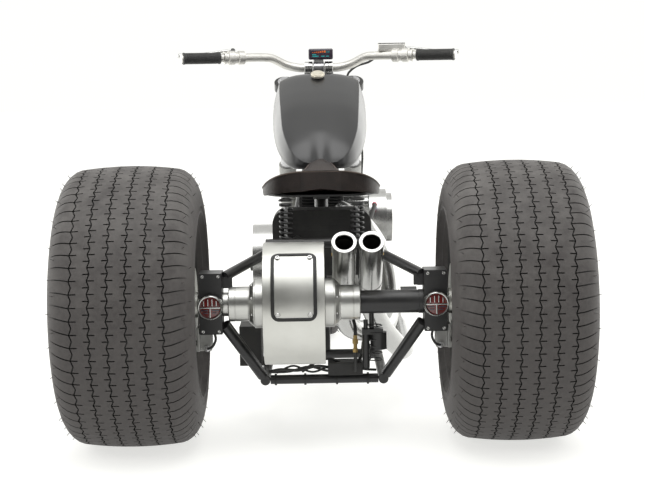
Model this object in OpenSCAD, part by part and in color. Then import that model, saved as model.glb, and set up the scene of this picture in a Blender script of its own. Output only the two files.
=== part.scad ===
// Motorized trike: a rigid V-twin frame on two wide rear wheels and a raked front fork.
// Lengths are in millimetres. +Y is forward, +X the rider's right and Z = 0 the ground.
// The origin lies on the ground, half way along the machine.

/* [Overall] */
// Distance from the rear axle to the front axle
wheelbase = 1700; // [1650:5:2060]
// Distance between the middles of the two rear tyres
track = 1000; // [980:2:1230]
// Angle of the steering axis from upright
rake = 34; // [30:0.5:38]

/* [Rear wheels] */
// Outer radius of a rear tyre
rear_tyre_r = 370; // [340:1:400]
// Width of a rear tyre over its side walls
rear_tyre_w = 362; // [300:2:370]
// Radius at the lip of a rear rim
rear_rim_r = 200; // [180:1:215]
// Wall of the rear rim barrel
rear_rim_wall = 8; // [6:1:12]
// Radius of a rear brake disc
rear_disc_r = 100; // [90:1:110]
// Radius of the spindle that carries a rear wheel
spindle_r = 25; // [18:1:28]

/* [Front wheel] */
// Outer radius of the front tyre
front_tyre_r = 330; // [300:1:340]
// Width of the front tyre
front_tyre_w = 130; // [100:2:136]
// Radius at the lip of the front rim
front_rim_r = 218; // [200:1:240]
// Radius of the front brake disc
front_disc_r = 145; // [120:1:150]
// Radius of the front axle
front_axle_r = 12; // [10:0.5:14]
// Radius of the hole through the front axle
front_axle_bore_r = 7; // [5:0.5:8]

/* [Fork and handlebar] */
// Radius of a fork tube
fork_tube_r = 24.5; // [20:0.5:26]
// Distance from the middle to each fork tube
fork_half_w = 118; // [116:1:140]
// Distance of the fork tubes ahead of the steering axis
fork_offset = 50; // [30:1:60]
// Length from the front axle to the top of the fork tubes
fork_length = 760; // [740:5:820]
// Greatest radius of the lower fork legs
slider_r = 31; // [29:0.5:34]
// Radius of the steering stem
stem_r = 15; // [12:0.5:18]
// Radius of the handlebar
bar_r = 14.5; // [11:0.5:16]
// Half of the width over the grips
bar_half_w = 460; // [420:5:500]
// Height of the grips above the middle of the handlebar
bar_rise = 37; // [20:1:60]
// Length of a grip
grip_l = 130; // [110:1:140]
// Radius of a grip
grip_r = 20; // [18:0.5:22]

/* [Frame] */
// Radius of the large frame tubes
tube_r = 20; // [16:0.5:22]
// Radius of the thin frame tubes
stay_r = 13.5; // [11:0.5:15]
// Height of the lower frame rails
rail_z = 150; // [140:1:175]
// Distance from the middle to each lower rail
rail_x = 160; // [150:1:175]
// Height of the cross tube below the seat springs
cross_z = 505; // [490:1:520]
// Outer radius of the steering neck
neck_r = 30; // [26:0.5:34]
// Length of the steering neck
neck_l = 130; // [110:1:150]

/* [Rear axle] */
// Width of an axle end block
block_w = 60; // [50:1:64]
// Depth of an axle end block, front to back
block_d = 80; // [76:1:100]
// Height of an axle end block
block_h = 162; // [150:1:176]
// Radius of the axle tubes
axle_tube_r = 32; // [30:0.5:38]
// Radius of the bell flanges
bell_r = 65; // [56:1:72]
// Radius of the chain case
case_r = 162; // [140:1:180]
// Width of the chain case
case_w = 160; // [130:1:166]
// Radius of a tail light
tail_light_r = 34; // [26:1:36]

/* [Engine] */
// Distance of the crankshaft ahead of the rear axle
crank_y = 880; // [860:1:900]
// Height of the crankshaft
crank_z = 295; // [285:1:305]
// Angle between the two cylinders
vee_angle = 45; // [40:1:55]
// Radius over the cylinder fins
fin_r = 72; // [60:1:76]
// Radius of the exhaust pipes
pipe_r = 31.5; // [26:0.5:32.5]
// Wall of the exhaust pipes at their mouths
pipe_wall = 2.5; // [2:0.5:6]

/* [Seat and tanks] */
// Width of the seat
seat_w = 336; // [300:2:360]
// Thickness of the seat at its rear
seat_t = 60; // [50:1:70]
// Greatest width of the fuel tank
tank_w = 306; // [270:2:330]
// Width of the oil tank
oil_tank_w = 280; // [250:2:290]
// Free length of a seat spring
spring_l = 84; // [70:1:90]
// Radius of a seat spring
spring_r = 20; // [16:0.5:24]

/* [Hidden] */
$fn = 64;

// Clearance between two pieces that are fastened together
seat_gap = 0.3;
// Radial clearance of a shaft in its bearing
running_gap = 0.05;
// Clearance of what turns past what stands still
moving_gap = 5;

// Height of the rear axle
axle_z = rear_tyre_r;
// Place of the rear axle along the machine, with the origin half way
axle_y = (rear_tyre_r - front_tyre_r - wheelbase) / 2;
// Faces of an axle end block, measured from the middle of the machine
block_out_x = (track - rear_tyre_w) / 2 + 7;
block_in_x = block_out_x - block_w;
block_mid_x = block_out_x - block_w / 2;
block_top_z = axle_z + block_h / 2 + 6;
block_bottom_z = block_top_z - block_h;
// The chain case stands left of the middle
case_mid_x = -76;
case_left_x = case_mid_x - case_w / 2;
case_right_x = case_mid_x + case_w / 2;
// Bells on both sides of the chain case
bell_flange_w = 20;
bell_cone_w = 19;
bell_neck_w = 55;
bell_neck_r = axle_tube_r + 12;
bell_l = bell_flange_w + bell_cone_w + bell_neck_w;

// The steering axis stands this far from the front axle, square to the axis
axis_foot = [0, wheelbase - fork_offset * cos(rake), front_tyre_r - fork_offset * sin(rake)];
yoke_t = 28;
yoke_top_s = fork_length - 6;
yoke_under_s = yoke_top_s - yoke_t;
neck_top_s = yoke_under_s - moving_gap;
neck_bottom_s = neck_top_s - neck_l;
lower_yoke_s = neck_bottom_s - moving_gap - yoke_t;
slider_top_s = 400;
// Middle of the handlebar above the top yoke
riser_l = 92;
riser_x = 34;
bar_s = yoke_top_s + riser_l;

// Middle of the neck, seen from the rear axle
neck_mid = fork_point([0, 0, (neck_top_s + neck_bottom_s) / 2]);
// Route of the backbone from the neck to the foot of the seat post
post_y = 450;
backbone_route = [
    neck_mid, [0, 900, 742], [0, 720, 694], [0, 590, 648], [0, 490, 560],
    [0, post_y + 8, 460], [0, post_y, 340], [0, post_y, rail_z + stay_r + seat_gap]
];
// The upper cross tube and the places where the rear stays meet it
cross_y = 225;
stay_x = 148;
// Corner where the lower stays meet the rails
corner_y = 75;
// Front ends of the lower rails
rail_front_y = 1150;
spring_x = 100;

// Exhaust mouths, their rise and the routes of the pipes behind them
mouth_y = -50;
mouth_z = axle_z + 166;
mouth_rise = 39;
left_mouth_x = 57;
right_mouth_x = 129;
mouth_l = 120;
left_route = [
    [57, 160, 366], [60, 250, 296], [80, 330, 248], [130, 430, 222], [188, 540, 222],
    [204, 606, 290], [192, 628, 400], [140, 640, 500], [74, 676, 548], [44, 700, 560]
];
right_route = [
    [129, 160, 366], [138, 220, 316], [172, 310, 244], [216, 410, 180], [240, 520, 150],
    [245, 750, 150], [241, 960, 172], [232, 1070, 260], [206, 1118, 400], [158, 1120, 510],
    [96, 1094, 566], [52, 1066, 566]
];

// ---- Plain helpers ----

function unit(v) = v / norm(v);

// Point on a smooth curve through p, between points i and i + 1
function curve_point(p, i, t) =
    let (a = p[max(i - 1, 0)], b = p[i], c = p[i + 1], d = p[min(i + 2, len(p) - 1)])
    ((2 * b) + (c - a) * t + (2 * a - 5 * b + 4 * c - d) * t * t
        + (3 * b - a - 3 * c + d) * t * t * t) / 2;

// Smooth curve with n steps between its given points
function curve(p, n) = concat(
    [for (i = [0 : len(p) - 2]) for (k = [0 : n - 1]) curve_point(p, i, k / n)],
    [p[len(p) - 1]]
);

// Side directions carried along a route without twist
function carried(tangents, i, side) =
    i >= len(tangents) ? [] :
    let (s = unit(side - (side * tangents[i]) * tangents[i]))
    concat([s], carried(tangents, i + 1, s));

// Round tube along a route of points
module swept(route, r, sides = 12) {
    last = len(route) - 1;
    tangents = [for (i = [0 : last]) unit(route[min(i + 1, last)] - route[max(i - 1, 0)])];
    across = carried(tangents, 0, abs(tangents[0][0]) < 0.7 ? [1, 0, 0] : [0, 0, 1]);
    points = [
        for (i = [0 : last])
            for (k = [0 : sides - 1])
                let (a = 360 * k / sides)
                route[i] + r * (cos(a) * across[i] + sin(a) * cross(tangents[i], across[i]))
    ];
    walls = [
        for (i = [0 : last - 1])
            for (k = [0 : sides - 1])
                let (a = i * sides + k, b = i * sides + (k + 1) % sides)
                each [[a, b + sides, b], [a, a + sides, b + sides]]
    ];
    ends = [[for (k = [0 : sides - 1]) k], [for (k = [sides - 1 : -1 : 0]) last * sides + k]];
    polyhedron(points, concat(walls, ends));
}

// Straight round bar between two points
module rod(p, q, r) {
    d = q - p;
    translate(p)
        rotate([0, acos(d[2] / norm(d)), atan2(d[1], d[0])])
            cylinder(r = r, h = norm(d));
}

// Box between two opposite corners
module box(p, q) {
    translate(p)
        cube(q - p);
}

// Cylinder along X
module wheel_pin(r, x0, x1) {
    translate([x0, 0, 0])
        rotate([0, 90, 0])
            cylinder(r = r, h = x1 - x0);
}

// Places children with the ground point below the rear axle as their origin
module from_axle() {
    translate([0, axle_y, 0])
        children();
}

// Places children round the middle of the rear axle
module at_axle() {
    translate([0, axle_y, axle_z])
        children();
}

// Places children on the steering axis, +Z up along it and +Y ahead of it
module in_fork() {
    translate([0, axle_y, 0] + axis_foot)
        rotate([rake, 0, 0])
            children();
}

// A point given on the steering axis, seen from below the rear axle
function fork_point(p) = axis_foot
    + [p[0], p[1] * cos(rake) - p[2] * sin(rake), p[1] * sin(rake) + p[2] * cos(rake)];

// An upright step of the machine, turned into the fork's own directions
function fork_step(d) = [
    d[0], d[1] * cos(rake) + d[2] * sin(rake), d[2] * cos(rake) - d[1] * sin(rake)
];

// Children on both sides of the machine
module both_sides() {
    for (side = [0, 1])
        mirror([side, 0, 0])
            children();
}

function arc_points(cx, cy, rx, ry, a0, a1, n) =
    [for (i = [0 : n]) let (a = a0 + (a1 - a0) * i / n) [cx + rx * cos(a), cy + ry * sin(a)]];

// ---- Frame ----

module backbone_shape(grow = 0) {
    swept(curve(backbone_route, 5), tube_r + grow, 16);
}

module neck_shape(grow = 0) {
    translate(axis_foot)
        rotate([rake, 0, 0])
            translate([0, 0, neck_bottom_s])
                cylinder(r = neck_r + grow, h = neck_l);
}

module backbone() {
    color([0.09, 0.09, 0.1])
        from_axle()
            difference() {
                union() {
                    neck_shape();
                    backbone_shape();
                }
                translate(axis_foot)
                    rotate([rake, 0, 0])
                        cylinder(r = stem_r + running_gap, h = fork_length + neck_l);
            }
}

module rail_shape(grow = 0) {
    rod([rail_x, corner_y - stay_r, rail_z], [rail_x, rail_front_y, rail_z], stay_r + grow);
}

module downtube_shape(grow = 0) {
    rod(
        fork_point([12, -15, neck_bottom_s + 52]),
        [rail_x - 2, rail_front_y - stay_r - 2, rail_z],
        stay_r + 1 + grow
    );
}

module downtubes() {
    color([0.09, 0.09, 0.1])
        from_axle()
            both_sides()
                difference() {
                    downtube_shape();
                    box([-100, 0, 0], [0, wheelbase, 2 * axle_z + fork_length]);
                    neck_shape(seat_gap);
                    backbone_shape(seat_gap);
                    rail_shape(seat_gap);
                }
}

module lower_rails() {
    color([0.09, 0.09, 0.1])
        from_axle()
            both_sides()
                rail_shape();
}

module upper_stay(grow = 0) {
    rod([stay_x, cross_y, cross_z - 22], [block_in_x - 4, 0, block_top_z - 14], stay_r + grow);
}

module lower_stay(shift, grow = 0) {
    rod(
        [rail_x + 8, corner_y + shift / 2, rail_z + 12],
        [block_in_x - 4, shift, block_bottom_z + 20],
        stay_r + grow
    );
}

module stay_lug() {
    box(
        [block_in_x - 26, -5, block_top_z - 44],
        [block_in_x - seat_gap, 5, block_top_z - 14]
    );
}

module rear_stays() {
    color([0.1, 0.1, 0.11])
        from_axle()
            both_sides()
                difference() {
                    union() {
                        upper_stay();
                        stay_lug();
                        for (shift = [-17, 17])
                            lower_stay(shift);
                    }
                    block_shape(seat_gap);
                    cross_tube_shape(seat_gap);
                    rail_shape(seat_gap);
                    lower_cross_shape(seat_gap);
                    axle_tube_shape(seat_gap);
                    translate([0, 0, axle_z])
                        wheel_pin(bell_neck_r + seat_gap, 0, bell_l - case_left_x);
                }
}

module cross_tube_shape(grow = 0) {
    rod([-stay_x - 10, cross_y, cross_z], [stay_x + 10, cross_y, cross_z], stay_r + grow);
}

module lower_cross_shape(grow = 0) {
    rod(
        [-rail_x + stay_r + seat_gap, corner_y, rail_z],
        [rail_x - stay_r - seat_gap, corner_y, rail_z],
        stay_r - 1 + grow
    );
}

module cross_tubes() {
    color([0.1, 0.1, 0.11])
        from_axle() {
            difference() {
                union() {
                    cross_tube_shape();
                    both_sides()
                        rod([stay_x - 60, cross_y, cross_z], [12, post_y + 40, 520], stay_r - 2);
                }
                backbone_shape(seat_gap);
            }
            lower_cross_shape();
            difference() {
                rod([-rail_x, post_y, rail_z], [rail_x, post_y, rail_z], stay_r);
                both_sides()
                    rail_shape(seat_gap);
            }
        }
}

// ---- Rear axle ----

module block_shape(grow = 0) {
    box(
        [block_in_x - grow, -block_d / 2 - grow, block_bottom_z - grow],
        [block_out_x + grow, block_d / 2 + grow, block_top_z + grow]
    );
}

module axle_blocks() {
    color([0.12, 0.12, 0.13])
        from_axle()
            both_sides()
                difference() {
                    block_shape();
                    translate([0, 0, axle_z])
                        wheel_pin(spindle_r + running_gap, block_in_x - 1, block_out_x + 1);
                }
}

module axle_tube_shape(grow = 0) {
    translate([0, 0, axle_z]) {
        wheel_pin(axle_tube_r + grow, case_right_x + bell_l, block_in_x);
        mirror([1, 0, 0])
            wheel_pin(axle_tube_r + grow, -case_left_x + bell_l, block_in_x);
    }
}

module axle_tubes() {
    color([0.08, 0.08, 0.09])
        from_axle()
            axle_tube_shape();
}

module bell() {
    union() {
        wheel_pin(bell_r, 0, bell_flange_w);
        translate([bell_flange_w, 0, 0])
            rotate([0, 90, 0])
                cylinder(r1 = bell_r - 4, r2 = bell_neck_r, h = bell_cone_w);
        wheel_pin(bell_neck_r, bell_flange_w + bell_cone_w, bell_l);
    }
}

module axle_bells() {
    color([0.72, 0.73, 0.75])
        at_axle() {
            translate([case_right_x, 0, 0])
                bell();
            translate([case_left_x, 0, 0])
                mirror([1, 0, 0])
                    bell();
        }
}

module chain_case() {
    color([0.8, 0.81, 0.82])
        at_axle() {
            wheel_pin(case_r, case_left_x, case_right_x);
            box([case_left_x + 14, 0, -52], [case_left_x + 84, post_y + 26, 24]);
        }
}

// The cover bends round the back of the chain case
module inspection_cover() {
    cover_w = 118;
    color([0.78, 0.79, 0.8])
        at_axle()
            translate([case_mid_x + 1 - cover_w / 2, 0, 0])
                rotate([0, 90, 0])
                    rotate([0, 0, -148])
                        rotate_extrude(angle = 66)
                            translate([case_r + seat_gap, 0])
                                square([9, cover_w]);
}

module tail_lights() {
    color([0.75, 0.05, 0.04])
        at_axle()
            both_sides()
                translate([block_mid_x, -block_d / 2 - seat_gap, 0])
                    rotate([90, 0, 0]) {
                        cylinder(r = tail_light_r, h = 20);
                        cylinder(r = tail_light_r - 5, h = 26);
                    }
}

// The disc runs in the slot between the two halves of the caliper
disc_in_x = block_out_x + moving_gap + 9;
disc_t = 6;

module rear_calipers() {
    slot_in_x = disc_in_x - moving_gap;
    slot_out_x = disc_in_x + disc_t + moving_gap;
    bottom = -rear_disc_r - moving_gap;
    color([0.7, 0.71, 0.73])
        at_axle()
            both_sides()
                difference() {
                    union() {
                        box([block_out_x + 0.5, -34, bottom - 16], [slot_out_x + 16, 34, -56]);
                        box([block_mid_x, -24, bottom - 16], [block_out_x + 4, 24,
                            block_bottom_z - axle_z - seat_gap]);
                    }
                    box([slot_in_x, -40, bottom], [slot_out_x, 40, 0]);
                    wheel_pin(hub_r + moving_gap, block_out_x, slot_out_x + 40);
                }
}

// ---- Exhaust ----

// Start of the straight mouth piece, seen from below the rear axle
function mouth_point(x, back) =
    [x, mouth_y + back * cos(mouth_rise), mouth_z - back * sin(mouth_rise)];

module exhaust(x, route) {
    straight = mouth_l + 95;
    start = mouth_point(x, straight - 12);
    difference() {
        union() {
            rod(mouth_point(x, straight), mouth_point(x, 8), pipe_r);
            rod(mouth_point(x, 40), mouth_point(x, 0), pipe_r + 2);
            swept(curve(concat([start], route), 4), pipe_r - 1, 16);
        }
        rod(mouth_point(x, mouth_l), mouth_point(x, -10), pipe_r - pipe_wall);
        cylinders_shape(seat_gap);
    }
}

module exhaust_left() {
    color([0.78, 0.78, 0.8])
        from_axle()
            exhaust(left_mouth_x, left_route);
}

module exhaust_right() {
    color([0.78, 0.78, 0.8])
        from_axle()
            exhaust(right_mouth_x, right_route);
}

// ---- Engine ----

case_half_w = 88;
crank_case_r = 112;
barrel_from = 186;
barrel_to = 300;
head_to = 368;
rocker_to = 398;

module crankcase_shape(grow = 0) {
    translate([0, crank_y, crank_z]) {
        wheel_pin(crank_case_r + grow, -case_half_w - grow, case_half_w + grow);
        box(
            [-case_half_w + 12 - grow, -140, -crank_case_r + 4],
            [case_half_w - 12 + grow, 60, -20]
        );
    }
}

module crankcase() {
    color([0.5, 0.5, 0.52])
        from_axle() {
            crankcase_shape();
            translate([0, crank_y, crank_z])
                wheel_pin(76, case_half_w, case_half_w + 26);
        }
}

// One cylinder with its head and rocker box, standing on the crankshaft's middle
module cylinder_shape(grow = 0) {
    cylinder(r = 42 + grow, h = barrel_from + 1);
    translate([0, 0, barrel_from])
        cylinder(r = fin_r + grow, h = barrel_to - barrel_from);
    box([-70 - grow, -62 - grow, barrel_to - 1], [70 + grow, 62 + grow, head_to]);
    box([-54 - grow, -52 - grow, head_to - 1], [54 + grow, 52 + grow, rocker_to + grow]);
}

module cylinders_shape(grow = 0) {
    translate([0, crank_y, crank_z])
        for (lean = [-1, 1])
            rotate([lean * vee_angle / 2, 0, 0])
                cylinder_shape(grow);
}

module one_cylinder(lean) {
    color([0.45, 0.45, 0.47])
        from_axle()
            difference() {
                translate([0, crank_y, crank_z])
                    rotate([lean * vee_angle / 2, 0, 0])
                        cylinder_shape();
                crankcase_shape(seat_gap);
            }
}

module rear_cylinder() {
    one_cylinder(1);
}

module front_cylinder() {
    one_cylinder(-1);
}

clutch_y = 560;
clutch_z = 425;
cover_out_x = -206;
cover_in_x = -146;

module primary_cover() {
    reach = [0, crank_y - clutch_y, crank_z - clutch_z];
    color([0.62, 0.62, 0.64])
        from_axle() {
            translate([0, clutch_y, clutch_z]) {
                wheel_pin(104, cover_out_x, cover_in_x);
                rotate([atan2(reach[2], reach[1]), 0, 0])
                    box([cover_out_x + 5, 0, -88], [cover_in_x, norm(reach), 88]);
            }
            translate([0, crank_y, crank_z])
                wheel_pin(94, cover_out_x, cover_in_x);
            translate([0, crank_y, crank_z])
                wheel_pin(60, cover_in_x, -case_half_w - seat_gap);
        }
}

module gearbox() {
    color([0.5, 0.5, 0.52])
        from_axle()
            difference() {
                union() {
                    box([-100, 486, 250], [92, 672, 400]);
                    translate([0, clutch_y, 400])
                        wheel_pin(72, -100, 92);
                    translate([0, clutch_y, clutch_z])
                        wheel_pin(44, cover_in_x + seat_gap, -90);
                    box([-80, post_y + tube_r + seat_gap, 262], [80, 500, 318]);
                    box([-70, 660, 262], [70, crank_y, 330]);
                }
                crankcase_shape(seat_gap);
                cylinders_shape(seat_gap);
                backbone_shape(seat_gap);
            }
}

cleaner_z = 517;
intake_z = 562;

module air_cleaner() {
    color([0.8, 0.8, 0.82])
        from_axle() {
            translate([0, crank_y, cleaner_z]) {
                wheel_pin(91, 152, 208);
                wheel_pin(78, 207, 226);
            }
            translate([0, crank_y, intake_z])
                wheel_pin(25, -20, 153);
            difference() {
                rod([0, crank_y - 60, intake_z], [0, crank_y + 60, intake_z], 19);
                cylinders_shape(seat_gap);
            }
        }
}

// ---- Tanks, boxes and small canisters ----

oil_tank_y = 290;
oil_tank_d = 118;
oil_tank_top = 592;
oil_tank_bottom = 405;

module oil_tank() {
    corner = 38;
    half = oil_tank_w / 2;
    color([0.07, 0.07, 0.08])
        from_axle()
            difference() {
                union() {
                    box(
                        [-half, oil_tank_y, oil_tank_bottom],
                        [half, oil_tank_y + oil_tank_d, oil_tank_top - corner]
                    );
                    box(
                        [corner - half, oil_tank_y, oil_tank_top - corner - 1],
                        [half - corner, oil_tank_y + oil_tank_d, oil_tank_top]
                    );
                    both_sides()
                        translate([half - corner, oil_tank_y + oil_tank_d, oil_tank_top - corner])
                            rotate([90, 0, 0])
                                cylinder(r = corner, h = oil_tank_d);
                    both_sides()
                        box(
                            [20, oil_tank_y + oil_tank_d - 1, 440],
                            [44, post_y - 4, 470]
                        );
                }
                seat_rail_shape(seat_gap);
                backbone_shape(seat_gap);
            }
}

// The two thin tubes that run from the upper cross tube to the seat post
module seat_rail_shape(grow = 0) {
    both_sides()
        rod([stay_x - 60, cross_y, cross_z], [12, post_y + 40, 520], stay_r - 2 + grow);
}

module electrics_boxes() {
    tray_z = rail_z + stay_r + seat_gap;
    color([0.08, 0.08, 0.09])
        from_axle() {
            box([-236, 205, tray_z], [-rail_x + 10, 330, tray_z + 4]);
            box([-236, 205, tray_z + 3], [-174, 330, tray_z + 112]);
            box(
                [10, corner_y - 24, rail_z + stay_r - 1 + seat_gap],
                [104, corner_y + 40, rail_z + stay_r + 34]
            );
        }
}

module oil_filter() {
    strut_y = 22;
    color([0.15, 0.15, 0.16])
        from_axle()
            difference() {
                union() {
                    rod([128, strut_y, axle_z - 20], [128, strut_y, 262], 6.5);
                    translate([128, strut_y, 288])
                        rotate([0, 0, 90])
                            box([-18, -30, -7], [18, 26, 7]);
                    rod([146, strut_y, 286], [146, strut_y, 240], 22);
                    rod([112, strut_y - 6, 320], [112, strut_y - 6, 280], 6);
                    rod([112, strut_y - 6, 282], [112, strut_y - 6, 190], 10);
                }
                axle_tube_shape(seat_gap);
                both_sides()
                    for (shift = [-17, 17])
                        lower_stay(shift, seat_gap);
            }
}

// The top of the tank slopes back from its front edge to its middle
tank_front_y = 1040;
tank_front_z = 955;
tank_mid_y = 850;
tank_mid_z = 860;
tank_edge_r = 31;
tank_slope = atan2(tank_front_z - tank_mid_z, tank_front_y - tank_mid_y);

module tank_round(place, r) {
    translate(place)
        sphere(r = r, $fn = 28);
}

module fuel_tank() {
    half = tank_w / 2;
    color([0.05, 0.05, 0.055])
        from_axle()
            difference() {
                hull()
                    both_sides() {
                        tank_round([half - 52, 1000, 900], 52);
                        tank_round([half - 38, 960, 800], 38);
                        tank_round([half - 42, tank_front_y, tank_front_z], tank_edge_r);
                        tank_round([half - 50, tank_mid_y, tank_mid_z], tank_edge_r);
                        tank_round([84, 715, 752], 32);
                        tank_round([60, 668, 706], 22);
                        tank_round([70, 1150, 860], 36);
                        tank_round([70, 1150, 828], 28);
                    }
                hull()
                    for (drop = [0, 100])
                        rod([0, 560, 646 - drop], [0, 1300, 852 - drop], tube_r - 1, $fn = 24);
                backbone_shape(seat_gap);
            }
}

module fuel_cap() {
    color([0.85, 0.83, 0.76])
        from_axle()
            translate([-4, tank_front_y, tank_front_z])
                rotate([tank_slope, 0, 0])
                    translate([0, -18, tank_edge_r + seat_gap])
                        cylinder(r = 23, h = 12);
}

module seat() {
    half = seat_w / 2;
    color([0.22, 0.16, 0.12])
        from_axle()
            difference() {
                hull() {
                    translate([0, 330, 622])
                        scale([half / 110, 1, 1])
                            cylinder(r = 110, h = 22);
                    both_sides()
                        translate([46, 262, 706 - seat_t / 2])
                            sphere(r = seat_t / 2, $fn = 24);
                    translate([0, 616, 704])
                        sphere(r = 24, $fn = 24);
                }
                backbone_shape(seat_gap);
                cross_tube_shape(seat_gap);
            }
}

module seat_springs() {
    foot_z = cross_z + stay_r + seat_gap;
    color([0.1, 0.1, 0.11])
        from_axle()
            both_sides()
                translate([spring_x, cross_y + 13, 0])
                    difference() {
                        union() {
                            translate([0, 0, 622 - seat_gap - spring_l])
                                cylinder(r = spring_r, h = spring_l);
                            translate([0, 0, cross_z])
                                cylinder(r = spring_r - 6, h = 622 - seat_gap - cross_z);
                        }
                        translate([-spring_x, -cross_y - 13, 0]) {
                            cross_tube_shape(seat_gap);
                            seat_rail_shape(seat_gap);
                            upper_stay(seat_gap);
                        }
                    }
}

module foot_controls() {
    peg_y = 1190;
    peg_z = 232;
    color([0.2, 0.2, 0.21])
        from_axle()
            both_sides()
                difference() {
                    union() {
                        rod([rail_x, rail_front_y - 20, rail_z], [rail_x + 14, peg_y, peg_z], 11);
                        rod([rail_x + 8, peg_y, peg_z], [rail_x + 165, peg_y, peg_z], 15);
                        rod([rail_x + 30, peg_y, peg_z], [rail_x + 30, peg_y + 70, peg_z + 80], 7);
                        rod(
                            [rail_x + 26, peg_y + 70, peg_z + 80],
                            [rail_x + 90, peg_y + 70, peg_z + 80],
                            10
                        );
                    }
                    rail_shape(seat_gap);
                    downtube_shape(seat_gap);
                }
}

// ---- Fork and handlebar ----

module yoke_plate(from_s, thick) {
    hull() {
        translate([0, 0, from_s])
            cylinder(r = neck_r - 1, h = thick);
        box(
            [-fork_half_w, fork_offset - 28, from_s],
            [fork_half_w, fork_offset + 22, from_s + thick]
        );
    }
    both_sides()
        translate([fork_half_w, fork_offset, from_s])
            cylinder(r = fork_tube_r + 12, h = thick);
}

module fork_yokes() {
    color([0.11, 0.11, 0.12])
        in_fork() {
            difference() {
                union() {
                    yoke_plate(yoke_under_s, yoke_t);
                    yoke_plate(lower_yoke_s, yoke_t);
                }
                both_sides()
                    translate([fork_half_w, fork_offset, 0])
                        cylinder(r = fork_tube_r + seat_gap, h = fork_length + 40);
            }
            translate([0, 0, lower_yoke_s + 2])
                cylinder(r = stem_r, h = yoke_top_s - lower_yoke_s);
            both_sides()
                difference() {
                    rod([riser_x, 0, yoke_top_s - 2], [riser_x, 0, bar_s + 6], 15);
                    bar_middle_bore(seat_gap);
                }
        }
}

module fork_tubes() {
    color([0.75, 0.75, 0.77])
        in_fork()
            both_sides()
                translate([fork_half_w, fork_offset, 0]) {
                    translate([0, 0, slider_top_s + seat_gap])
                        cylinder(r = fork_tube_r, h = fork_length - slider_top_s);
                    translate([0, 0, 24])
                        cylinder(r = fork_tube_r - 8, h = fork_length - 16);
                }
}

module fork_sliders() {
    color([0.6, 0.6, 0.62])
        in_fork()
            both_sides()
                difference() {
                    translate([fork_half_w, fork_offset, 0]) {
                        translate([0, 0, -30])
                            cylinder(r = slider_r - 2, h = slider_top_s + 30);
                        translate([0, 0, slider_top_s - 40])
                            cylinder(r = slider_r, h = 40);
                    }
                    translate([0, fork_offset, 0])
                        wheel_pin(front_axle_r + running_gap, 0, 2 * fork_half_w);
                    translate([fork_half_w, fork_offset, 20])
                        cylinder(r = fork_tube_r - 8 + seat_gap, h = slider_top_s);
                }
}

module front_axle() {
    half = fork_half_w + slider_r + 4;
    color([0.7, 0.7, 0.72])
        in_fork()
            translate([0, fork_offset, 0])
                difference() {
                    union() {
                        wheel_pin(front_axle_r, -half, half);
                        both_sides()
                            wheel_pin(front_axle_r + 6, half - 4, half + 8);
                    }
                    wheel_pin(front_axle_bore_r, -half - 20, half + 20);
                }
}

// Offsets of the handlebar from its clamp, along the upright machine's directions
bar_offsets = [
    [0, 0, 0], [40, 0, 0], [68, 0, 0], [110, -3, 10], [158, -9, bar_rise - 4],
    [198, -22, bar_rise]
];
bar_end = [bar_half_w - 4, -120, bar_rise - 2];

// Point on the straight end of the handlebar, at the given distance from the middle
function bar_point(x) =
    let (a = bar_offsets[5], t = (x - a[0]) / (bar_end[0] - a[0]))
    [0, 0, bar_s] + fork_step(a + t * (bar_end - a));

bar_half_route = concat(
    [for (p = bar_offsets) [0, 0, bar_s] + fork_step(p)],
    [bar_point(250), bar_point(330), bar_point(bar_end[0])]
);

module handlebar_shape() {
    last = len(bar_half_route) - 1;
    mirrored = [
        for (i = [last : -1 : 1])
            let (p = bar_half_route[i])
            [-p[0], p[1], p[2]]
    ];
    swept(curve(concat(mirrored, bar_half_route), 4), bar_r, 16);
}

// Straight hole for the end of the handlebar
module bar_end_bore() {
    rod(bar_point(235), bar_point(bar_half_w - 3), bar_r + seat_gap);
}

// Straight hole for the middle of the handlebar
module bar_middle_bore(clearance) {
    translate([0, 0, bar_s])
        wheel_pin(bar_r + clearance, -64, 64);
}

module handlebar() {
    color([0.8, 0.8, 0.82])
        in_fork()
            handlebar_shape();
}

module grips() {
    color([0.05, 0.05, 0.055])
        in_fork()
            both_sides()
                difference() {
                    rod(bar_point(bar_half_w - grip_l), bar_point(bar_half_w), grip_r);
                    bar_end_bore();
                }
}

module hand_controls() {
    inner = bar_half_w - grip_l - 6;
    lever_from = bar_point(inner - 34) + fork_step([0, 52, -4]);
    lever_to = bar_point(bar_half_w + 4) + fork_step([0, 44, -18]);
    color([0.07, 0.07, 0.08])
        in_fork()
            difference() {
                union() {
                    both_sides() {
                        rod(bar_point(inner - 74), bar_point(inner), bar_r + 9);
                        rod(bar_point(inner - 34), lever_from, 9);
                        rod(lever_from, lever_to, 6.5);
                        translate(lever_to)
                            sphere(r = 9);
                    }
                    translate(bar_point(inner - 62))
                        rotate([-rake, 0, 0])
                            box([-62, 4, bar_r + 0.7], [32, 44, bar_r + 28]);
                }
                both_sides()
                    bar_end_bore();
            }
}

module dash() {
    dash_clamp_w = 2 * (riser_x - 15) - 2;
    color([0.14, 0.12, 0.16])
        in_fork()
            translate([0, 0, bar_s])
                rotate([-rake, 0, 0])
                    difference() {
                        union() {
                            box([-dash_clamp_w / 2, -19, -20], [dash_clamp_w / 2, 20, 30]);
                            box([-35, -22, 26], [50, 24, 64]);
                        }
                        rotate([rake, 0, 0])
                            translate([0, 0, -bar_s])
                                bar_middle_bore(seat_gap + 0.4);
                    }
}

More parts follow.
